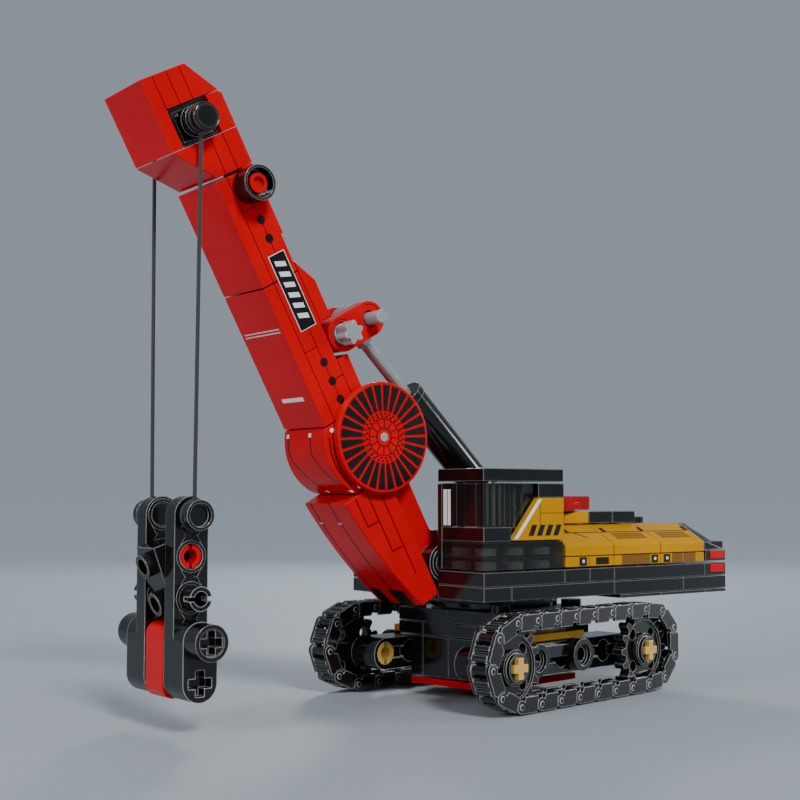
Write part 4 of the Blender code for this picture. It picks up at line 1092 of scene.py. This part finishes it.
def make_ring_wheel():
    shape = ring(8.3, 13.0, 3.7, 3.05, steps=44)
    prism("X", circle((0, 0), 3.1, 40), 9.0, 10.4, shape)
    make("ring_rim", shape, "black", RING, ["ring_wheel"], 0.2)
    core = ring(10.3, 12.3, 2.1, 1.3)
    make("ring_core", core, "red", RING, bevel=0.15)
    back = prism("X", circle((0, 0), 1.35, 24), 10.4, 11.4)
    make("ring_core_floor", back, "red", RING, bevel=0)


def make_reels():
    """A printed reel disc on each side of the knee: red spokes, dots and hub segments on black."""
    for side, name in SIDES:
        disc = prism("X", circle((0, 0), 12.0, 96), *mirrored(side, 8.4, 10.2))
        make(f"reel_{name}", disc, "red", REEL, [f"reel_disc_{name}"], 0.3, 3, 50)
        low, high = mirrored(side, 10.1, 10.27)
        field = bmesh.new()
        for gap in range(28):
            turn = 2 * math.pi * (gap + 0.5) / 28
            half = math.pi / 28
            inner, outer = half - 0.24 / 5.7, half - 0.33 / 11.3
            corners = ((5.7, -inner), (11.3, -outer), (11.3, 0.0), (11.3, outer), (5.7, inner))
            prism("X", [polar(radius, turn + t) for radius, t in corners], low, high, field)
        for count, radius in ((28, 5.15), (24, 4.5)):
            for dot in range(count):
                turn = 2 * math.pi * (dot + 0.5) / count
                prism("X", circle(polar(radius, turn), 0.24, 10), low, high, field)
        ring(low, high, 4.05, 3.9, shape=field)
        ring(low, high, 2.0, 1.85, shape=field)
        for line in range(12):
            prism("X", turned_by(rect(1.9, 4.0, -0.07, 0.07), 2 * math.pi * line / 12), low, high, field)
        make(f"reel_{name}_print", field, "ink", REEL, bevel=0)
        cap = prism("X", circle((0, 0), 0.95, 32), *mirrored(side, 10.1, 10.4))
        make(f"reel_{name}_cap", cap, "grey", REEL, bevel=0.1)


def make_lugs():
    """The red liftarm pair and the two light-grey bars across it."""
    near, far = at(LUG_V, LUG_H), at(LUG_V - STUD, LUG_H)
    for side, name in SIDES:
        low, high = mirrored(side, 4.3, 8.0)
        lug = make(f"lug_{name}", prism("X", slot_outline(near, far, 3.85, 24), low, high), "red", BOOM,
                   [f"cylinder_lug_{name}"], 0.3, 3)
        cuts = [prism("X", circle(near, 2.5, 30), low - 1, high + 1),
                prism("X", circle(far, 1.75, 30), low - 1, high + 1)]
        for centre in (near, far):
            cuts.append(ring(*mirrored(side, 7.5, 8.5), 3.1, 0.2, centre))
        carve(lug, cuts, BOOM)
        collar = ring(*mirrored(side, 7.0, 7.9), 3.05, 2.52, near)
        ring(*mirrored(side, 7.0, 7.9), 3.05, 1.78, far, collar)
        make(f"lug_rims_{name}", collar, "red", BOOM, bevel=0.08)
    bar = prism("X", circle(near, 2.3, 30), -8.2, 8.2)
    for side in (1, -1):
        prism("X", lobed(near, 2.6, 1.8), *mirrored(side, 8.25, 12.0), bar)
    make("lug_bar", bar, "grey", BOOM, ["lug_axle"], 0.2)
    pin = prism("X", circle(far, 1.45, 30), -8.0, 12.5)
    make("rod_bar", pin, "grey", BOOM, ["rod_pin"], 0.25, 3)


def lobed(centre, peak, valley):
    """A six-lobed knob's outline."""
    turns = [2 * math.pi * step / 72 for step in range(72)]
    middle, swing = (peak + valley) / 2, (peak - valley) / 2
    return [polar(middle + swing * math.cos(6 * turn), turn, centre) for turn in turns]


# ---- cylinder ---------------------------------------------------------------------------------------
def turned(stations, steps=40):
    """A solid of revolution along Z from (z, radius) stations."""
    rows = [[(a, b, z) for a, b in circle((0, 0), radius, steps)] for z, radius in stations]
    return skin(bmesh.new(), rows, closed=False)


def make_cylinder():
    mouth = 49.4
    stations = [(3.0, 2.9), (3.0, 3.95), (7.0, 3.95), (7.0, 3.65), (8.0, 3.65), (8.0, 3.85),
                (mouth - 1.8, 3.85),
                (mouth - 1.8, 3.98), (mouth, 3.98), (mouth, 1.9), (mouth - 3.0, 1.9)]
    make("barrel_tube", turned(stations), "black", BARREL, ["cylinder_barrel"], 0.18)
    eye = prism("X", slot_outline((0, 0), (0, 5), 3.4), -4.15, 4.15)
    eye_piece = make("barrel_eye", eye, "black", BARREL, bevel=0.25)
    carve(eye_piece, [prism("X", circle((0, 0), 1.7, 28), -5, 5)], BARREL)
    low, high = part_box("rod_pin")
    pin = (Vector(low) + Vector(high)) / 2
    foot = joint_point("barrel_tilt")
    reach = math.hypot(pin.y - foot.y, pin.z - foot.z) / MM
    rod = turned([(mouth - 20, 1.55), (reach - 6.5, 1.55), (reach - 6.2, 2.1), (reach - 3.2, 2.1)], 32)
    make("rod_tube", rod, "silver", ROD, ["cylinder_rod"], 0.1)
    eye = ring(-2.15, 2.15, 3.6, 2.4, (0, reach), steps=40)
    make("rod_eye", eye, "grey", ROD, bevel=0.2)


make_wedge()
make_knee()
make_long_boom()
make_head()
make_head_shaft()
make_ring_wheel()
make_reels()
make_lugs()
make_cylinder()


# ---- grab -------------------------------------------------------------------------------------------
def grab_hole(step):
    """Hole centres of the grab's arms as (y, z) round its top pin, counted up from the bottom."""
    return (0.0, (step - 4) * STUD)


def make_grab():
    for side, name in SIDES:
        low, high = mirrored(side, 4.15, 7.95)
        arm_shape = prism("X", slot_outline(grab_hole(1), grab_hole(4), 3.7, 24), low, high)
        arm = make(f"grab_{name}_arm", arm_shape, "black", GRAB, [f"grab_arm_{name}"], 0.2)
        cuts = [prism("X", circle(grab_hole(step), 2.45, 32), low - 1, high + 1) for step in (1, 2, 3, 4)]
        for step in (1, 2, 3):
            hole_z = grab_hole(step)[1]
            web = [(-2.3, hole_z + 2.2), (2.3, hole_z + 2.2), (1.15, hole_z + 4.0),
                   (2.3, hole_z + 5.8), (-2.3, hole_z + 5.8), (-1.15, hole_z + 4.0)]
            cuts.append(prism("X", web, *mirrored(side, 7.0, 8.5)))
            cuts.append(prism("X", web, *mirrored(side, 3.5, 5.0)))
        carve(arm, cuts, GRAB)
        rims = bmesh.new()
        for step in (2, 3):
            ring(*mirrored(side, 7.0, 8.0), 3.25, 2.5, grab_hole(step), rims)
        for step in (2, 3, 4):
            ring(*mirrored(side, 4.1, 4.9), 3.25, 2.5, grab_hole(step), rims)
        prism("X", circle(grab_hole(4), 2.35, 32), *mirrored(side, 4.5, 4.9), rims)
        make(f"grab_{name}_rims", rims, "black", GRAB, bevel=0.1)
        jaw_low, jaw_high = mirrored(side, 4.15, 11.95)
        jaw = prism("X", slot_outline(grab_hole(0), grab_hole(1), 3.7, 24), jaw_low, jaw_high)
        jaw_piece = make(f"grab_{name}_jaw", jaw, "black", GRAB, bevel=0.3)
        socket = prism("X", cross_outline(2.5, 0.95, grab_hole(0)), *mirrored(side, 9.5, 12.5))
        carve(jaw_piece, [socket], GRAB)
        stub = ring(*mirrored(side, 11.9, 16.5), 3.6, 2.65, grab_hole(1), steps=40)
        ring(*mirrored(side, 14.6, 15.3), 3.4, 3.0, grab_hole(1), stub)
        make(f"grab_{name}_stub", stub, "black", GRAB, bevel=0.15)
        plug = prism("X", circle(grab_hole(1), 2.7, 36), *mirrored(side, 12.0, 16.1))
        plug_piece = make(f"grab_{name}_plug", plug, "black", GRAB, bevel=0.1)
        socket = prism("X", cross_outline(2.35, 0.85, grab_hole(1)), *mirrored(side, 13.5, 17.0))
        carve(plug_piece, [socket], GRAB)
        bush = ring(*mirrored(side, 7.9, 10.1), 2.35, 1.5, grab_hole(4), steps=36)
        ring(*mirrored(side, 10.0, 11.6), 3.0, 2.3, grab_hole(4), bush)
        prism("X", circle(grab_hole(4), 2.35, 32), *mirrored(side, 8.0, 10.4), bush)
        make(f"grab_{name}_bush", bush, "black", GRAB, bevel=0.12)
        peg = ring(*mirrored(side, 7.0, 12.0), 2.4, 1.45, grab_hole(2), steps=36)
        peg_piece = make(f"grab_{name}_peg", peg, "black", GRAB, bevel=0.12)
        carve(peg_piece, [block((mirrored(side, 9.5, 12.5)[0], -3.0, grab_hole(2)[1] - 0.4),
                                (mirrored(side, 9.5, 12.5)[1], 3.0, grab_hole(2)[1] + 0.4))], GRAB)
        insert = ring(*mirrored(side, 4.4, 7.6), 2.35, 1.45, grab_hole(3), steps=36)
        insert_piece = make(f"grab_{name}_insert", insert, "red", GRAB, bevel=0.12)
        carve(insert_piece, [block((mirrored(side, 6.2, 8.5)[0], -0.4, grab_hole(3)[1] - 3.0),
                                   (mirrored(side, 6.2, 8.5)[1], 0.4, grab_hole(3)[1] + 3.0))], GRAB)
    core_top = grab_hole(1)[1] + 3.0
    core = arc((-1.2, grab_hole(0)[1] - 1.2), 2.5, 180, 270, 10)
    core += [(3.7, grab_hole(0)[1] - 3.7), (3.7, core_top)]
    core += arc((-1.2, core_top - 2.5), 2.5, 90, 180, 10)
    make("grab_core_tile", prism("X", core, -3.75, 3.75), "red", GRAB, ["grab_core"], 0.3, 3)
    body = [(-0.8, core_top + 0.3), (4.0, core_top + 0.3), (4.0, -4.6), (-2.6, -5.2), (-6.0, -6.4)]
    make("grab_wedge", prism("X", body, -3.8, 3.8), "black", GRAB, ["grab_link"], 0.2)
    tubes = bmesh.new()
    lean = math.radians(20.2)
    for y, z in ((-4.8, -9.6), (-2.0, -17.1)):
        rows = []
        for depth, radius in ((0.5, 2.4), (-1.8, 2.4), (-1.8, 1.65), (0.5, 1.65)):
            tilted = [(a, *turned_by([(depth, b)], lean)[0]) for a, b in circle((0, 0), radius, 32)]
            rows.append([(a, y + along, z + up) for a, along, up in tilted])
        skin(tubes, rows)
    make("grab_tubes", tubes, "black", GRAB, bevel=0.1)


make_grab()


# ---- stage ------------------------------------------------------------------------------------------
def area_light(name, place, target, size, energy, colour=(1.0, 1.0, 1.0)):
    lamp = bpy.data.lights.new(name, "AREA")
    lamp.shape = "DISK"
    lamp.size = size
    lamp.energy = energy
    lamp.color = colour
    made = bpy.data.objects.new(name, lamp)
    made.location = place
    made.rotation_euler = (Vector(target) - Vector(place)).to_track_quat("-Z", "Y").to_euler()
    made.visible_camera = False
    bpy.context.scene.collection.objects.link(made)


def make_stage():
    floor_shape = bmesh.new()
    bmesh.ops.create_circle(floor_shape, cap_ends=True, segments=64, radius=12.0)
    mesh = bpy.data.meshes.new("floor")
    floor_shape.to_mesh(mesh)
    floor_shape.free()
    mesh.materials.append(floor_material())
    floor = bpy.data.objects.new("floor", mesh)
    bpy.context.scene.collection.objects.link(floor)
    world = bpy.data.worlds.new("studio")
    world.use_nodes = True
    world.node_tree.nodes["Background"].inputs["Color"].default_value = (0.47, 0.55, 0.63, 1.0)
    world.node_tree.nodes["Background"].inputs["Strength"].default_value = 0.56
    bpy.context.scene.world = world
    sun = bpy.data.lights.new("sun", "SUN")
    sun.energy = 2.4
    sun.angle = math.radians(14)
    sun.color = (1.0, 0.985, 0.96)
    made = bpy.data.objects.new("sun", sun)
    made.rotation_euler = Vector((-0.80, 0.18, -0.62)).to_track_quat("-Z", "Y").to_euler()
    bpy.context.scene.collection.objects.link(made)
    area_light("fill", (0.05, -0.55, 0.25), (0.0, 0.0, 0.06), 0.20, 1.2, (1.0, 0.98, 0.96))
    area_light("back", (-0.42, 0.34, 0.30), (0.0, 0.0, 0.05), 0.12, 0.8)
    area_light("strip", (0.42, 0.86, 0.22), (0.0, 0.0, 0.06), 0.26, 2.3)


make_stage()
